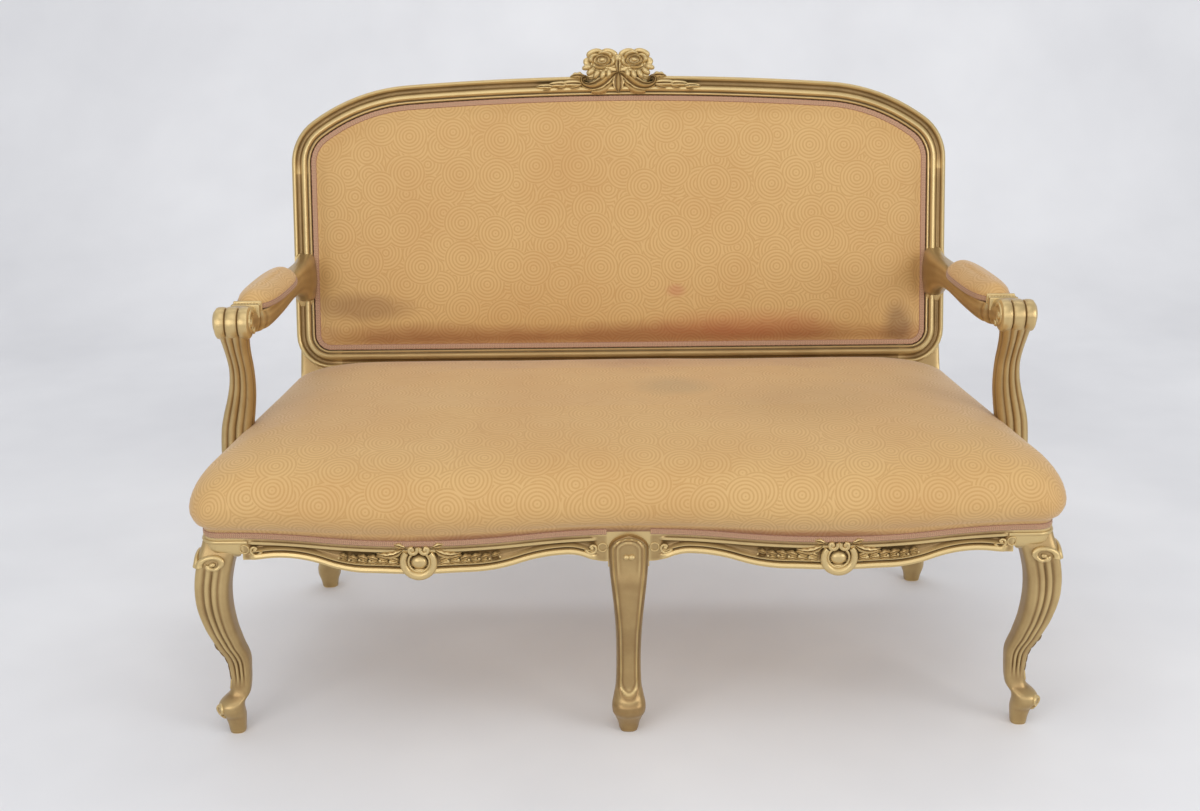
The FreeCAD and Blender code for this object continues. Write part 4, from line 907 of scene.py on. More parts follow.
def arm_parts():
    """The right arm: its bar, stepped for the pad, the ribbed scroll, and a cuff with a row of pearls."""
    def bar(i, j):
        back, out, z, half_width, half_height = along(arm_line, i / 90)
        y = scroll.y + back * (rear_rail_back - scroll.y)
        turn = math.pi * (j % 48) / 24
        facing = math.degrees(turn) % 180
        reach = soft_square(turn, 3.2)
        cove = 1 - 0.12 * bump_at(y, pad_front - 0.004, 0.004) - 0.06 * bump_at(y, pad_front + 0.012, 0.004)
        height = z + half_height * reach * math.sin(turn) * cove
        if pad_front < y < pad_rear:
            height = min(height, pad_step)
        groove = 0.0018 * (bump_at(facing, 150, 9) + bump_at(facing, 30, 9))
        wide = half_width * (reach - groove / 0.025) * math.cos(turn) * cove
        return (scroll.x - (1 - out) * (scroll.x - arm_rear_x) + wide, y, height)
    # One half of the scroll's ribbed rim: radius, place along its axis
    outside = ((0.0, -0.0270), (0.012, -0.0270), (0.0212, -0.0264), (0.0240, -0.0245), (0.0251, -0.0210),
               (0.0252, -0.0150), (0.0243, -0.0112), (0.0222, -0.0096), (0.0243, -0.0080), (0.0252, -0.0045))
    rim = outside + tuple((radius, -x) for radius, x in reversed(outside))

    def rolled(i, j):
        radius, x = rim[i]
        turn = math.pi * (j % 48) / 24
        return (scroll.x + x, scroll.y + radius * math.cos(turn), scroll.z + radius * math.sin(turn))
    parts = [drawn(90, 48, bar), drawn(len(rim) - 1, 48, rolled)]
    for side in (-1, 1):
        face = lambda a, b, out: (scroll.x + side * (0.0266 + out), scroll.y + a, scroll.z + b)
        curl = spiral((0, 0), 0.0215, 0.0070, -60, 1.4)
        parts.append(laid(strand(curl, lambda t: 0.0030 - 0.0012 * t, 10, 44), face))
        parts.append(laid(bead((0, 0), 0.0068, 0.55), face))
    cuff_x, cuff_foot, cuff_top = 0.5905, 0.630, 0.6485
    for low, high, top in ((-0.1245, -0.1200, 0.6525), (-0.1065, -0.1010, 0.6535)):
        parts.append(box((cuff_x - 0.0225, low, cuff_foot), (cuff_x + 0.0225, high, top), 0.0024))
    parts.append(box((cuff_x - 0.0215, -0.1200, cuff_foot), (cuff_x + 0.0215, -0.1060, cuff_top), 0.002))
    for k in range(9):
        pearl = bead((0, 0), 0.0030, 0.9)
        spot = (cuff_x + 0.0048 * (k - 4), -0.1132, cuff_top + 0.001)
        bmesh.ops.translate(pearl, vec=spot, verts=pearl.verts)
        parts.append(pearl)
    return parts


def support_parts():
    """The right arm's support, ribbed in front, its tenon, and three leaves at its foot."""
    def shaft(i, j):
        z, x, y, half_width, half_depth = along(support_line, i / 90)
        turn = math.pi * (j % 80) / 40
        facing = math.degrees(turn) % 180
        reach = soft_square(turn, 3.6)
        front = max(0.0, -math.sin(turn)) ** 0.7
        across = reach * math.cos(turn)
        ribbed = front * 0.0026 * (1 - abs(math.sin(math.pi * 2 * across)) ** 0.6) - 0.0009 * front
        rim = 0.0016 * (bump_at(facing, 20, 8) + bump_at(facing, 160, 8))
        reach -= ease((z - 0.352) / 0.03) * (ribbed + rim) / 0.022
        return (scroll.x + x + half_width * reach * math.cos(turn),
                scroll.y + y + half_depth * reach * math.sin(turn), z)
    parts = [drawn(90, 80, shaft), box((0.606, -0.118, 0.312), (0.634, -0.088, 0.350))]
    for k in range(3):
        side = lambda a, b, out: (0.6465 + out - 0.0012 * k, -0.1020 + a, 0.366 + 0.014 * k + b)
        parts.append(laid(leaf((0, 0), 0.024 - 0.003 * k, 0.015 - 0.002 * k, 90, 0, 0.0035), side))
    return parts


finished_pair("arm", arm_parts(), gilt, "gilt_wood", ["arm"])
finished_pair("arm_support", support_parts(), gilt, "gilt_wood", ["arm_support"], 50)


# Hidden beech and fixings
# Side and rear rails, brace, corner blocks and dowels are plain machined pieces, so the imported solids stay
# and only take a finish: gilt where they show, bare beech inside, bright zinc on the screws.


def bare_beech():
    """Planed, unfinished beech: pale and matt, close grained, its flecks 110 mm long and 6 mm wide."""
    material, tree = new_material("bare_planed_beech")
    place = node(tree, "TexCoord").outputs["Object"]
    flecks = node(tree, "Mapping", {"Vector": place, "Scale": (3.0, 60.0, 60.0)})
    grain = node(tree, "TexNoise", {"Vector": flecks.outputs[0], "Scale": 3.0, "Detail": 6.0}).outputs["Fac"]
    tone = node(tree, "ValToRGB", {"Fac": grain}, ((0.35, "#B98F63"), (0.65, "#D2AE82")))
    bump = node(tree, "Bump", {"Strength": 0.2, "Distance": 0.0004, "Height": grain})
    wood = node(tree, "BsdfPrincipled", {"Base Color": tone.outputs[0], "Roughness": 0.62,
                                         "Normal": bump.outputs[0]})
    node(tree, "OutputMaterial", {"Surface": wood.outputs[0]})
    return material


def zinc_plate():
    """Zinc-plated steel of wood screws: an even, half bright, cool grey."""
    material, tree = new_material("zinc_plated_steel")
    metal = node(tree, "BsdfPrincipled", {"Base Color": "#BFC0C4", "Metallic": 1.0, "Roughness": 0.34})
    node(tree, "OutputMaterial", {"Surface": metal.outputs[0]})
    return material


beech = bare_beech()
zinc = zinc_plate()
for names, finish in ((("seat_rail_side_right", "seat_rail_side_left"), gilt),
                      (("seat_rail_rear", "seat_brace", "corner_block_front_right", "corner_block_front_left",
                        "corner_block_rear_right", "corner_block_rear_left", "frame_dowels"), beech),
                      (("corner_block_screws", "arm_screws"), zinc)):
    for name in names:
        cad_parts[name].data.materials.clear()
        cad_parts[name].data.materials.append(finish)


# Covers
# Gold damask over the seat, the back and the arm pads, woven with rings inside rings, worn and stained in
# places. Its rings and slubs are laid out in the millimetres of the cloth, through each piece's own UV. Plain
# weaves lie under it: jute, hessian, and the cotton behind.
ring_spacing = 0.006
# Three layers of round motifs that cover one another: size in millimetres, shift, share of it that is drawn
motifs = ((50, 5.3, 0.62), (64.1, 2.7, 0.50), (78.125, 0.0, 0.42))
# Darker marks on the cloth: colour, middle, half size, strength. Most are wear and marks of use. The first is
# a band right across the foot of the back and the rear of the seat, where they meet. The last is a band right
# along the foot of the seat's front, at the braid.
stains = (
    ("#8F4A22", (0.0, 0.255, 0.496), (0.75, 0.20, 0.033), 0.60),
    ("#74451F", (-0.46, 0.255, 0.555), (0.10, 0.20, 0.030), 0.42),
    ("#5F3B22", (0.500, 0.255, 0.515), (0.035, 0.20, 0.055), 0.50),
    ("#B0522E", (0.22, 0.255, 0.515), (0.20, 0.20, 0.034), 0.32),
    ("#B65F4A", (0.10, 0.255, 0.580), (0.020, 0.20, 0.014), 0.35),
    ("#93805C", (0.085, -0.02, 0.478), (0.085, 0.060, 0.10), 0.30),
    ("#9A7440", (0.30, -0.10, 0.470), (0.20, 0.12, 0.10), 0.22),
    ("#7E3A20", (0.0, -0.330, 0.344), (0.80, 0.10, 0.012), 0.65),
)


def damask():
    """Rayon and cotton damask: the satin rings catch the light, the matt ground between them does not. Its
    slubs are 1.1 mm wide and 25 mm long, coarser than the real threads, so that they show."""
    material, tree = new_material("gold_damask_cloth")
    flat = node(tree, "UVMap").outputs[0]
    place = node(tree, "TexCoord").outputs["Object"]
    satin = None
    for size, shift, reach in motifs:
        moved = node(tree, "VectorMath", {0: flat, 1: (shift, shift, 0.0)}, operation="ADD").outputs[0]
        cells = node(tree, "TexVoronoi", {"Vector": moved, "Scale": scale_of(size), "Randomness": 0.62},
                     voronoi_dimensions="2D").outputs["Distance"]
        half_ring = ring_spacing / 2 * scale_of(size)
        ring = node(tree, "Math", {0: cells, 1: half_ring}, operation="PINGPONG").outputs[0]
        ring = node(tree, "Math", {0: ring, 1: half_ring}, operation="DIVIDE").outputs[0]
        ring = node(tree, "ValToRGB", {"Fac": ring}, ((0.30, "#000000"), (0.62, "#FFFFFF"))).outputs[0]
        inside = node(tree, "ValToRGB", {"Fac": cells}, ((reach - 0.01, "#FFFFFF"), (reach, "#000000")))
        if satin:
            over = {0: inside.outputs[0], 6: satin, 7: ring}
            ring = node(tree, "Mix", over, data_type="RGBA").outputs[2]
        satin = ring
    slub = node(tree, "Mapping", {"Vector": flat, "Scale": (900.0, 40.0, 1.0)})
    thread = node(tree, "TexNoise", {"Vector": slub.outputs[0], "Scale": 1.0, "Detail": 3.0}).outputs["Fac"]
    tone = node(tree, "Mix", {0: satin, 6: "#C0965A", 7: "#CFA76A"}, data_type="RGBA").outputs[2]
    share = node(tree, "Math", {0: thread, 1: 0.35}, operation="MULTIPLY").outputs[0]
    tone = node(tree, "Mix", {0: share, 6: tone, 7: "#D6B075"}, data_type="RGBA").outputs[2]
    wear = node(tree, "TexNoise", {"Vector": place, "Scale": scale_of(238.1), "Detail": 4.0,
                                   "Roughness": 0.65})
    wear = wear.outputs["Fac"]
    worn = node(tree, "ValToRGB", {"Fac": wear}, ((0.40, "#000000"), (0.72, "#FFFFFF"))).outputs[0]
    share = node(tree, "Math", {0: worn, 1: 0.35}, operation="MULTIPLY").outputs[0]
    tone = node(tree, "Mix", {0: share, 6: tone, 7: "#B98548"}, data_type="RGBA").outputs[2]
    for colour, centre, size, strength in stains:
        away = node(tree, "VectorMath", {0: place, 1: centre}, operation="SUBTRACT").outputs[0]
        away = node(tree, "VectorMath", {0: away, 1: size}, operation="DIVIDE").outputs[0]
        away = node(tree, "VectorMath", {0: away}, operation="LENGTH").outputs["Value"]
        edge = node(tree, "Math", {0: away, 1: 0.75}, operation="SUBTRACT").outputs[0]
        edge = node(tree, "Math", {0: wear, 1: 1.5, 2: edge}, operation="MULTIPLY_ADD").outputs[0]
        mark = node(tree, "ValToRGB", {"Fac": edge}, ((0.35, "#FFFFFF"), (1.0, "#000000"))).outputs[0]
        share = node(tree, "Math", {0: mark, 1: strength}, operation="MULTIPLY").outputs[0]
        tone = node(tree, "Mix", {0: share, 6: tone, 7: colour}, data_type="RGBA").outputs[2]
    rough = node(tree, "Math", {0: satin, 1: -0.18, 2: 0.74}, operation="MULTIPLY_ADD").outputs[0]
    height = node(tree, "Math", {0: thread, 1: 0.4}, operation="MULTIPLY").outputs[0]
    height = node(tree, "Math", {0: satin, 1: 0.5, 2: height}, operation="MULTIPLY_ADD").outputs[0]
    bump = node(tree, "Bump", {"Strength": 0.35, "Distance": 0.0006, "Height": height})
    cloth = node(tree, "BsdfPrincipled", {"Base Color": tone, "Roughness": rough, "Normal": bump.outputs[0],
                                          "Sheen Weight": 0.25, "Sheen Roughness": 0.45})
    node(tree, "OutputMaterial", {"Surface": cloth.outputs[0]})
    return material


def plain_weave(name, dark, light, threads):
    """A plain woven cloth, dry and matt, with so many threads to the metre, and slubs."""
    material, tree = new_material(name)
    place = node(tree, "TexCoord").outputs["Object"]
    wave = {"Vector": place, "Scale": threads / 6.3, "Distortion": 1.5}
    warp = node(tree, "TexWave", wave, bands_direction="X").outputs["Fac"]
    weft = node(tree, "TexWave", wave, bands_direction="Z").outputs["Fac"]
    weave = node(tree, "Math", {0: warp, 1: weft}, operation="MULTIPLY").outputs[0]
    slubs = node(tree, "TexNoise", {"Vector": place, "Scale": scale_of(16.67), "Detail": 4.0}).outputs["Fac"]
    uneven = node(tree, "Math", {0: slubs, 1: 0.8, 2: weave}, operation="MULTIPLY_ADD").outputs[0]
    tone = node(tree, "ValToRGB", {"Fac": uneven}, ((0.3, dark), (1.0, light)))
    bump = node(tree, "Bump", {"Strength": 0.3, "Distance": 0.0006, "Height": weave})
    cloth = node(tree, "BsdfPrincipled", {"Base Color": tone.outputs[0], "Roughness": 0.88,
                                          "Normal": bump.outputs[0]})
    node(tree, "OutputMaterial", {"Surface": cloth.outputs[0]})
    return material


cover_cloth = damask()
fibre = plain_weave("curled_fibre_stuffing", "#5A4632", "#8B7355", 160)
jute = plain_weave("jute_webbing", "#8C6B3F", "#BE9C68", 320)
sacking = plain_weave("hessian_sacking", "#8D7148", "#B89A68", 420)
lining = plain_weave("outer_back_cotton", "#B28C50", "#CDAA6E", 900)


def table_at(levels, share):
    """Row of a table of levels at a share of its length, by distance along it."""
    steps = [math.dist(a[:2], b[:2]) for a, b in zip(levels, levels[1:])]
    reached = np.concatenate(([0.0], np.cumsum(steps))) / sum(steps)
    return along(levels, float(np.interp(share, reached, np.linspace(0, 1, len(levels)))))


def by_length(points, count, closed=True):
    """Points of an outline at count equal steps of its length."""
    loop = np.array(points + points[:1] if closed else points)
    reached = np.concatenate(([0.0], np.cumsum(np.hypot(*np.diff(loop, axis=0).T))))
    return [(float(np.interp(s, reached, loop[:, 0])), float(np.interp(s, reached, loop[:, 1])))
            for s in np.linspace(0, reached[-1], count, endpoint=False)]


def in_quarters(points, count):
    """The outline from corner to corner, count equal steps along each of its four sides."""
    xy = np.array(points)
    middle, span = (xy.max(axis=0) + xy.min(axis=0)) / 2, np.ptp(xy, axis=0)
    share = (xy - middle) / span
    corners = [int(np.argmax(share @ np.array(way))) for way in ((-1, -1), (1, -1), (1, 1), (-1, 1))]
    quarters = []
    for first, last in zip(corners, corners[1:] + corners[:1]):
        stretch = points[first:last + 1] if first < last else points[first:] + points[:last + 1]
        quarters += by_length(stretch, count, False)
    return np.array(quarters)


def on_square(u, w):
    """Where (u, w) lies: how far out from the middle, 0 to 1, and how far round from a corner, 0 to 4."""
    reach = max(abs(u), abs(w), 1e-9)
    u, w = u / reach, w / reach
    if w < -1 + 1e-6:
        return reach, (u + 1) / 2
    if u > 1 - 1e-6:
        return reach, 1 + (w + 1) / 2
    if w > 1 - 1e-6:
        return reach, 2 + (1 - u) / 2
    return reach, 3 + (1 - w) / 2


def cushion(levels, outline, place, cells=120, roll=30, dome=0.0, dent=None, over=0):
    """Padded body: rings up its levels to the crown, then a square grid over the crown, and a flat foot.
    outline(row) gives the closed outline at a row of levels, whose column over is its height, and
    place(x, y, height) its place. UVs are the flat cloth."""
    side = cells
    rows = [table_at(levels, 1 - i / roll) for i in range(roll + 1)]
    rings = [in_quarters(outline(row), side) for row in rows]
    bm = bmesh.new()
    uv = bm.loops.layers.uv.new("cloth")
    flat, grid = {}, {}
    loop = [(i, 0) for i in range(side)] + [(side, i) for i in range(side)]
    loop += [(side - i, side) for i in range(side)] + [(0, side - i) for i in range(side)]
    middle = rings[0].mean(axis=0)
    for i in range(side + 1):
        for j in range(side + 1):
            reach, k = on_square(2 * i / side - 1, 2 * j / side - 1)
            before, after = rings[0][int(k * side) % (4 * side)], rings[0][(int(k * side) + 1) % (4 * side)]
            edge = before + (after - before) * (k * side % 1)
            x, y = middle + (edge - middle) * reach
            rise = dome * (1 - reach ** 2)
            grid[i, j] = bm.verts.new(place(x, y, levels[-1][over] + rise))
            flat[grid[i, j]] = (x, y)
    for i in range(side):
        for j in range(side):
            bm.faces.new((grid[i, j], grid[i + 1, j], grid[i + 1, j + 1], grid[i, j + 1]))
    last = [grid[cell] for cell in loop]
    count = len(last)
    walked, old = [0.0] * count, rings[0]
    for row, ring in zip(rows[1:], rings[1:]):
        verts = [bm.verts.new(place(x, y, row[over])) for x, y in ring]
        for k in range(count):
            run = Vector(ring[(k + 2) % count] - ring[k - 2]).normalized()
            away = Vector((run.y, -run.x))
            moved = verts[k].co - last[k].co
            shift = Vector(ring[k] - old[k])
            walked[k] += max(0.0, moved.length ** 2 - shift.dot(run) ** 2) ** 0.5 - shift.dot(away)
            flat[verts[k]] = tuple(Vector(ring[k]) + away * walked[k])
        for k in range(count):
            bm.faces.new((last[k], last[(k + 1) % count], verts[(k + 1) % count], verts[k]))
        last, old = verts, ring
    bm.faces.new(last)
    for face in bm.faces:
        for corner in face.loops:
            corner[uv].uv = flat[corner.vert]
    if dent:
        for vert in bm.verts:
            vert.co = dent(vert.co)
    bmesh.ops.recalc_face_normals(bm, faces=bm.faces)
    return bm


# Seat upholstery
# A firm edged stuffing of curled fibre on hessian and webbing, with the damask pulled tight over it and
# tacked to the rails, under a gimp braid.
# Height, how far it stands out in front, at the sides and behind, corner radius, bow of its front
seat_levels = (
    (0.3455, 0.0010, 0.0010, 0.0, 0.026, 0.020), (0.353, 0.0014, 0.0014, 0.0, 0.0265, 0.020),
    (0.360, 0.0105, 0.0060, 0.0003, 0.031, 0.020), (0.368, 0.0205, 0.0105, 0.0005, 0.035, 0.020),
    (0.388, 0.0300, 0.0155, 0.001, 0.042, 0.020), (0.412, 0.0270, 0.0115, -0.001, 0.050, 0.019),
    (0.433, 0.0140, 0.0000, -0.006, 0.058, 0.017), (0.449, -0.009, -0.019, -0.016, 0.066, 0.015),
    (0.462, -0.048, -0.056, -0.034, 0.076, 0.012), (0.4725, -0.112, -0.124, -0.075, 0.090, 0.008),
    (0.4795, -0.200, -0.240, -0.140, 0.100, 0.004),
)


def seat_row(row, inset=0.0):
    """Outline of the seat at a row of its levels."""
    z, front, side, rear, corner, bow = row
    y0, y1 = rail_face - front + inset, rear_rail_back + rear - inset
    lean = (0.580 - frame_half_width) / (rear_rail_back - rail_face)
    x0 = frame_half_width + side - inset - lean * (front - inset)
    x1 = 0.580 + side - inset + lean * (rear - inset)
    r = max(corner - inset, 0.004)
    front_x = x0 - r * (1 - lean)
    points = straight((-front_x, y0), (front_x, y0), 90)
    points += arc_points((front_x, y0 + r), r, -90, 0, 10)
    points += straight((x0 + lean * r, y0 + r), (x1, y1 - r), 40)
    points += arc_points((x1 - r, y1 - r), r, 0, 90, 10)
    points += straight((x1 - r, y1), (r - x1, y1), 90)
    points += arc_points((r - x1, y1 - r), r, 90, 180, 10)
    points += straight((-x1, y1 - r), (-x0 - lean * r, y0 + r), 40)
    points += arc_points((-front_x, y0 + r), r, 180, 270, 10)
    reach = frame_half_width - frame_corner + side
    bowed = []
    for x, y in points:
        near = ease(1 - (y - y0) / 0.12)
        share = wavy(abs(x), ((0.0, 0.0), (bow_at * (1 + side / frame_half_width), 1.0), (reach, 0.0)))
        bowed.append((x, y - bow * share * near))
    return bowed


def seat_place(x, y, z):
    """Where a point of the seat lies: its outline is drawn in place already."""
    return Vector((x, y, z))


def round_posts(point, gap=0.0):
    """The cloth dips with the braid in front, is drawn in behind at the stiles, and isn't quite even."""
    x, y, z = point
    z -= rail_dip(x) * ease((0.366 - z) / 0.018) * ease((-0.24 - y) / 0.04)
    z += 0.0016 * noise.noise(Vector((x, y, 0)) * 7) * ease((z - 0.43) / 0.02)
    side = 1 if x > 0 else -1
    wall = 0.600 - gap - 0.024 * ease((y - 0.140) / 0.05)
    return Vector((side * min(abs(x), wall) if y > 0.10 else x, y, z))


def soft_body(name, bm, material, slot, stands_for):
    """A finished padded piece."""
    piece = finished(name, [bm], material, slot, stands_for, 180)


seat_cloth = cushion(seat_levels, seat_row, seat_place, 130, 34, 0.0012, round_posts)
soft_body("seat_damask_cover", seat_cloth, cover_cloth, "damask_cloth", ["seat_cover"])
inner_seat = tuple((max(z - 0.0060, 0.3600), *rest) for z, *rest in seat_levels)
seat_fibre = cushion(inner_seat, lambda row: seat_row(row, 0.0120), seat_place, 24, 24, 0.0012,
                     lambda point: round_posts(point, 0.006))
soft_body("seat_firm_stuffing", seat_fibre, fibre, "stuffing", ["seat_stuffing"])


# Back upholstery
# Thinner padding of curled fibre on webbing in the frame's rabbet. The damask is stretched over it and tacked
# round the rabbet, under a braid.
# Inset from the frame's edge, height over its rear face, corner radius, shoulder radius
back_levels = (
    (0.0350, 0.0205, 0.027, 0.057), (0.0360, 0.0250, 0.027, 0.057), (0.0400, 0.0260, 0.026, 0.055),
    (0.0460, 0.0268, 0.026, 0.052), (0.0520, 0.0300, 0.029, 0.055), (0.0620, 0.0355, 0.034, 0.060),
    (0.0900, 0.0438, 0.044, 0.066), (0.1400, 0.0502, 0.046, 0.070), (0.1900, 0.0530, 0.036, 0.070),
)


def back_row(row):
    """Outline of the back's padding at a row of its levels."""
    return back_edge(row[0], row[2], row[3])


def on_padded_back(x, v, level):
    """Place of a point of the back's cloth, which isn't quite even over the stuffing."""
    uneven = 0.0014 * noise.noise(Vector((x, v, 1)) * 8) * ease((level - 0.030) / 0.01)
    return on_back(x, v, level + uneven)


back_cloth = cushion(back_levels, back_row, on_padded_back, 110, 24, 0.0010, over=1)
soft_body("back_damask_cover", back_cloth, cover_cloth, "damask_cloth", ["back_cover"])
inner_back = tuple((a + 0.0070, max(level - 0.0060, 0.0200), c, s) for a, level, c, s in back_levels[::2])
back_fibre = cushion(inner_back, back_row, on_back, 20, 8, 0.0008, over=1)
soft_body("back_firm_stuffing", back_fibre, fibre, "stuffing", ["back_stuffing"])


# Arm pads
# A small tight pad of curled fibre on the step of each arm, covered in the damask, which is tacked round the
# step's edge under a braid.
# Height over the step, how far it stands out past its foot
pad_levels = ((0.0005, 0.0), (0.0045, 0.0018), (0.0095, 0.0022), (0.0145, 0.0008), (0.0200, -0.0045),
              (0.0245, -0.0110), (0.0268, -0.0165), (0.0280, -0.0215))
pad_edge = -0.1000
pad_middle = Vector((0.579, (pad_edge + pad_rear) / 2, pad_step))
pad_turn = math.radians(4.5)


def pad_row(row, inset=0.0):
    """Outline of a pad at a row of its levels: fullest in the middle, narrower at its rounded ends."""
    half_width, half_length = 0.0305 + row[1] - inset, (pad_rear - pad_edge) / 2 - 0.002 + row[1] - inset
    turns = np.linspace(0, 2 * math.pi, 72, endpoint=False)
    reach = [soft_square(t, 2.9) for t in turns]
    return [(half_width * r * math.cos(t), half_length * r * math.sin(t)) for r, t in zip(reach, turns)]


def pad_place(x, y, height):
    """Place of a point of the right pad, which lies turned with the arm."""
    return pad_middle + Matrix.Rotation(pad_turn, 3, "Z") @ Vector((x, y, height))


for kind, material, slot, inset in (("cover", cover_cloth, "damask_cloth", 0.0),
                                    ("stuffing", fibre, "stuffing", 0.003)):
    levels = tuple((max(height - inset, 0.0005), out) for height, out in pad_levels)
    pad = cushion(levels, lambda row: pad_row(row, inset), pad_place, 26, 14, 0.0035)
    for side in ("right", "left"):
        node_name = "arm_pad_" + kind + "_" + side
        soft_body(node_name + "_soft", pad.copy(), material, slot, [node_name])
        bmesh.ops.scale(pad, vec=(-1, 1, 1), verts=pad.verts)
        bmesh.ops.reverse_faces(pad, faces=pad.faces)


# Braids
# Woven rayon gimp, a row of cross ribs between two scalloped edges. It is glued over the tacked edges of the
# cloth, round the seat frame, the back's rabbet and the arm pads.


def gimp():
    """Dusty pink rayon gimp: a soft sheen, a painted highlight on its ribs and painted shade between them,
    darker rose edges.
    """
    material, tree = new_material("rose_gimp_braid")
    place = node(tree, "TexCoord").outputs["Object"]
    pointiness_painted_light = node(tree, "NewGeometry").outputs["Pointiness"]
    across = node(tree, "SeparateXYZ", {"Vector": node(tree, "UVMap").outputs[0]}).outputs["Y"]
    borders = ((0.10, "#FFFFFF"), (0.22, "#000000"), (0.78, "#000000"), (0.90, "#FFFFFF"))
    edge = node(tree, "ValToRGB", {"Fac": across}, borders).outputs[0]
    # Painted light: pointiness makes the raised ribs paler, which is a painted highlight, and the hollows
    # between them darker, which is painted shade.
    ribs = node(tree, "ValToRGB", {"Fac": pointiness_painted_light}, ((0.45, "#6E4634"), (0.53, "#BE9472"))).outputs[0]
    fluff = node(tree, "TexNoise", {"Vector": place, "Scale": scale_of(3.333), "Detail": 3.0}).outputs["Fac"]
    share = node(tree, "Math", {0: edge, 1: 0.7}, operation="MULTIPLY").outputs[0]
    tone = node(tree, "Mix", {0: share, 6: ribs, 7: "#7B4232"}, data_type="RGBA").outputs[2]
    share = node(tree, "Math", {0: fluff, 1: 0.22}, operation="MULTIPLY").outputs[0]
    tone = node(tree, "Mix", {0: share, 6: tone, 7: "#D9AE86"}, data_type="RGBA").outputs[2]
    braid = node(tree, "BsdfPrincipled", {"Base Color": tone, "Roughness": 0.6, "Sheen Weight": 0.3})
    node(tree, "OutputMaterial", {"Surface": braid.outputs[0]})
    return material


rose_gimp = gimp()


def gimp_band(path, place, closed=True, width=0.0096, thick=0.0019):
    """Braid along path, whose points are about 1.6 mm apart; place(point, away, across, out) puts a corner of
    it. Every second section is a rib. UVs hold the share of the width."""
    count = len(path) - (len(path) % 2 if closed else 0)
    # Across the width, out: scalloped edges, two cords and a middle rib
    section = ((-0.5, 0.0), (-0.5, 0.5), (-0.32, 0.9), (-0.16, 0.62), (0.0, 1.0), (0.16, 0.62), (0.32, 0.9),
               (0.5, 0.5), (0.5, 0.0))
    shade = {}

    def corner(i, j):
        k = i % count if closed else i
        before = path[k - 1 if closed or k else 0]
        after = path[(k + 1) % count if closed or k < count - 1 else k]
        run = Vector((after[0] - before[0], after[1] - before[1])).normalized()
        across, out = section[j % len(section)]
        rib = 1.0 if k % 2 else 0.3
        edge = 1.0 if k % 4 < 2 else 0.9
        spot = place(path[k], Vector((run.y, -run.x)), across * width * edge, out * thick * rib)
        shade[tuple(round(value, 5) for value in spot)] = across + 0.5
        return spot
    bm = drawn(count if closed else count - 1, len(section), corner, ends=not closed)
    uv = bm.loops.layers.uv.new("cloth")
    for face in bm.faces:
        for loop in face.loops:
            loop[uv].uv = (0.0, shade.get(tuple(round(value, 5) for value in loop.vert.co), 0.5))
    return bm


# The seat's braid ends at the stiles, and leaves out the head of the middle leg and the feet of the supports
braid_end_y = 0.188
braid_middle = 0.3465
leg_head_half_width = 0.0318
support_foot, support_half = (0.61, -0.1016), (0.04, 0.031)


def seat_braid_bands():
    """From one rear stile round the front to the other, in runs between the pieces that interrupt it."""
    path = by_length(seat_row((0.3455, 0.0014, 0.0014, 0.0, 0.0265, 0.020)), 2400)
    rear = [k for k, (x, y) in enumerate(path) if y > braid_end_y]
    cut = next(k for k in rear if k + 1 not in rear)
    path = [p for p in path[cut + 1:] + path[:cut + 1] if p[1] <= braid_end_y]
    bands, run = [], []
    for x, y in path + [(0.0, rail_face)]:
        on_leg_head = abs(x) < leg_head_half_width and y < 0
        on_support = (abs(abs(x) - support_foot[0]) < support_half[0]
                      and abs(y - support_foot[1]) < support_half[1])
        if not on_leg_head and not on_support:
            run.append((x, y))
            continue
        if len(run) > 8:
            bands.append(run)
        run = []

    def place(point, away, across, out):
        dip = rail_dip(point[0]) if point[1] < -0.29 else 0.0
        out += 0.0003
        return Vector((point[0] + away.x * out, point[1] + away.y * out, braid_middle + across - dip))
    return [gimp_band(run, place, False) for run in bands]


def back_braid_band():
    """Round the cover in the back's rabbet."""
    def place(point, away, across, out):
        return on_back(point[0] - away.x * across, point[1] - away.y * across, 0.0262 + out)
    return gimp_band(by_length(back_edge(0.0391), 1300), place)


def pad_braid_band():
    """Round the foot of the right arm pad."""
    def place(point, away, across, out):
        return pad_place(point[0] + away.x * out, point[1] + away.y * out, 0.0048 + across)
    return gimp_band(by_length(pad_row((0.0, 0.0022)), 320), place, width=0.0086)


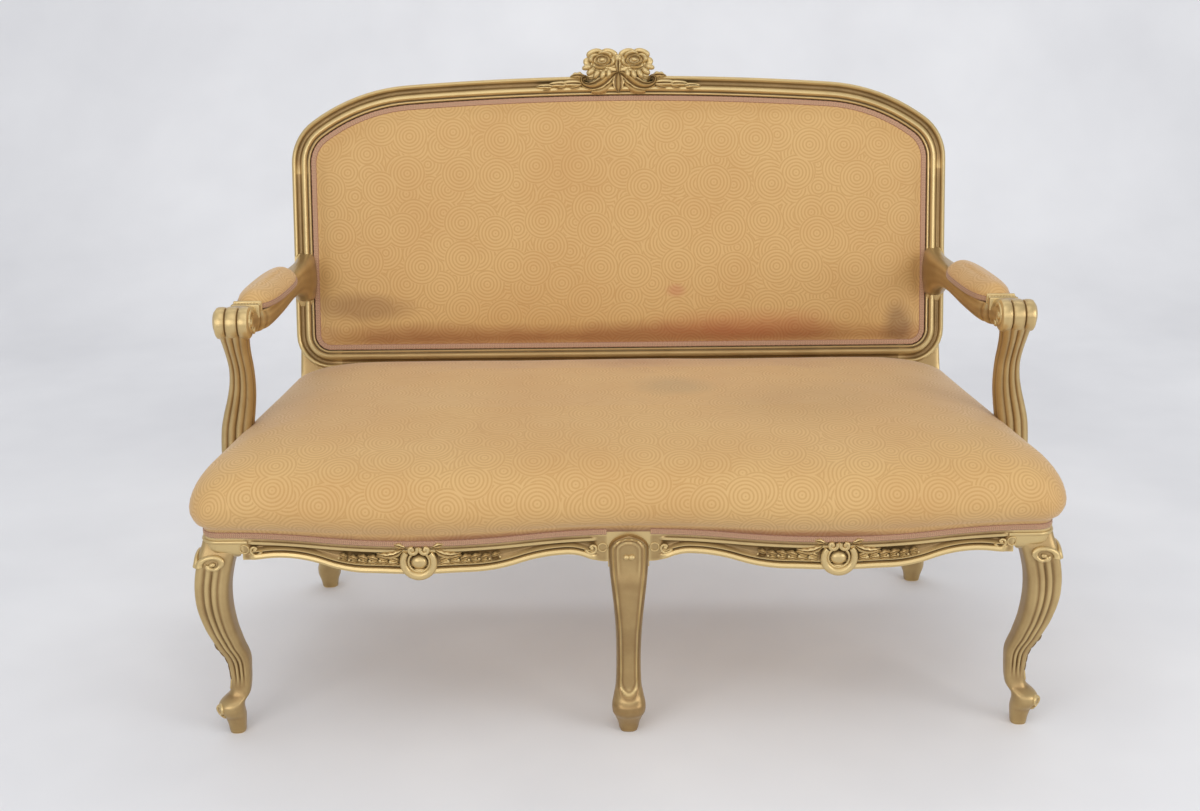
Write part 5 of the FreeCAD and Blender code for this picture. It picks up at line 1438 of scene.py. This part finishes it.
finished("seat_gimp", seat_braid_bands(), rose_gimp, "rose_braid", ["seat_braid"], 70)
finished("back_gimp", [back_braid_band()], rose_gimp, "rose_braid", ["back_braid"], 70)
finished_pair("arm_pad_gimp", [pad_braid_band()], rose_gimp, "rose_braid", ["arm_pad_braid"], 70)


# Webbing, hessian and outside back
# Jute straps woven over and under one another carry the stuffing, with hessian over the seat's. Cotton cloth
# is stretched over the rear of the back. All of it is tacked to the frame.


def flat_plate(outline, low, high, place):
    """A flat cloth of an outline between two heights."""
    return drawn(1, len(outline), lambda i, j: place(*outline[j % len(outline)], high if i else low))


straps = [box((x - 0.025, rail_face + 0.010, 0.3456), (x + 0.025, 0.2280, 0.3470), 0.0003)
          for x in (0.104 * (k - 4.5) for k in range(10))]
straps += [box((-0.560, y - 0.025, 0.3476), (0.560, y + 0.025, 0.3490), 0.0003)
           for y in (-0.039 + 0.0845 * (k - 2) for k in range(5))]
finished("seat_jute_straps", straps, jute, "jute_webbing", ["seat_webbing"])
back_straps = [laid(box((x - 0.025, 0.040, 0.0165), (x + 0.025, 0.478, 0.0179)), on_back)
               for x in (0.120 * (k - 3.5) for k in range(8))]
back_straps += [laid(box((-0.545, v - 0.025, 0.0184), (0.545, v + 0.025, 0.0198)), on_back)
                for v in (0.249 + 0.090 * (k - 1.5) for k in range(4))]
finished("back_jute_straps", back_straps, jute, "jute_webbing", ["back_webbing"])


def stretched_sheet(name, outline, low, high, place, material, slot, stands_for, dent=None):
    """A finished sheet of cloth, as large flat as it is in place."""
    if dent:
        outline = [tuple(dent((x, y, 0.35)))[:2] for x, y in outline]
    bm = flat_plate(outline, low, high, place)
    piece = finished(name, [bm], material, slot, [stands_for])


sacking_edge = by_length(seat_row((0.35, 0.0, 0.0, 0.0, 0.026, 0.020), 0.008), 240)
stretched_sheet("seat_hessian_sheet", sacking_edge, 0.3495, 0.3503, seat_place, sacking, "hessian",
                "seat_hessian", lambda point: round_posts(point, 0.002))
stretched_sheet("outer_back_cloth", back_edge(0.033), -0.0015, -0.0005, on_back, lining, "outer_cloth",
                "outer_back_cover")
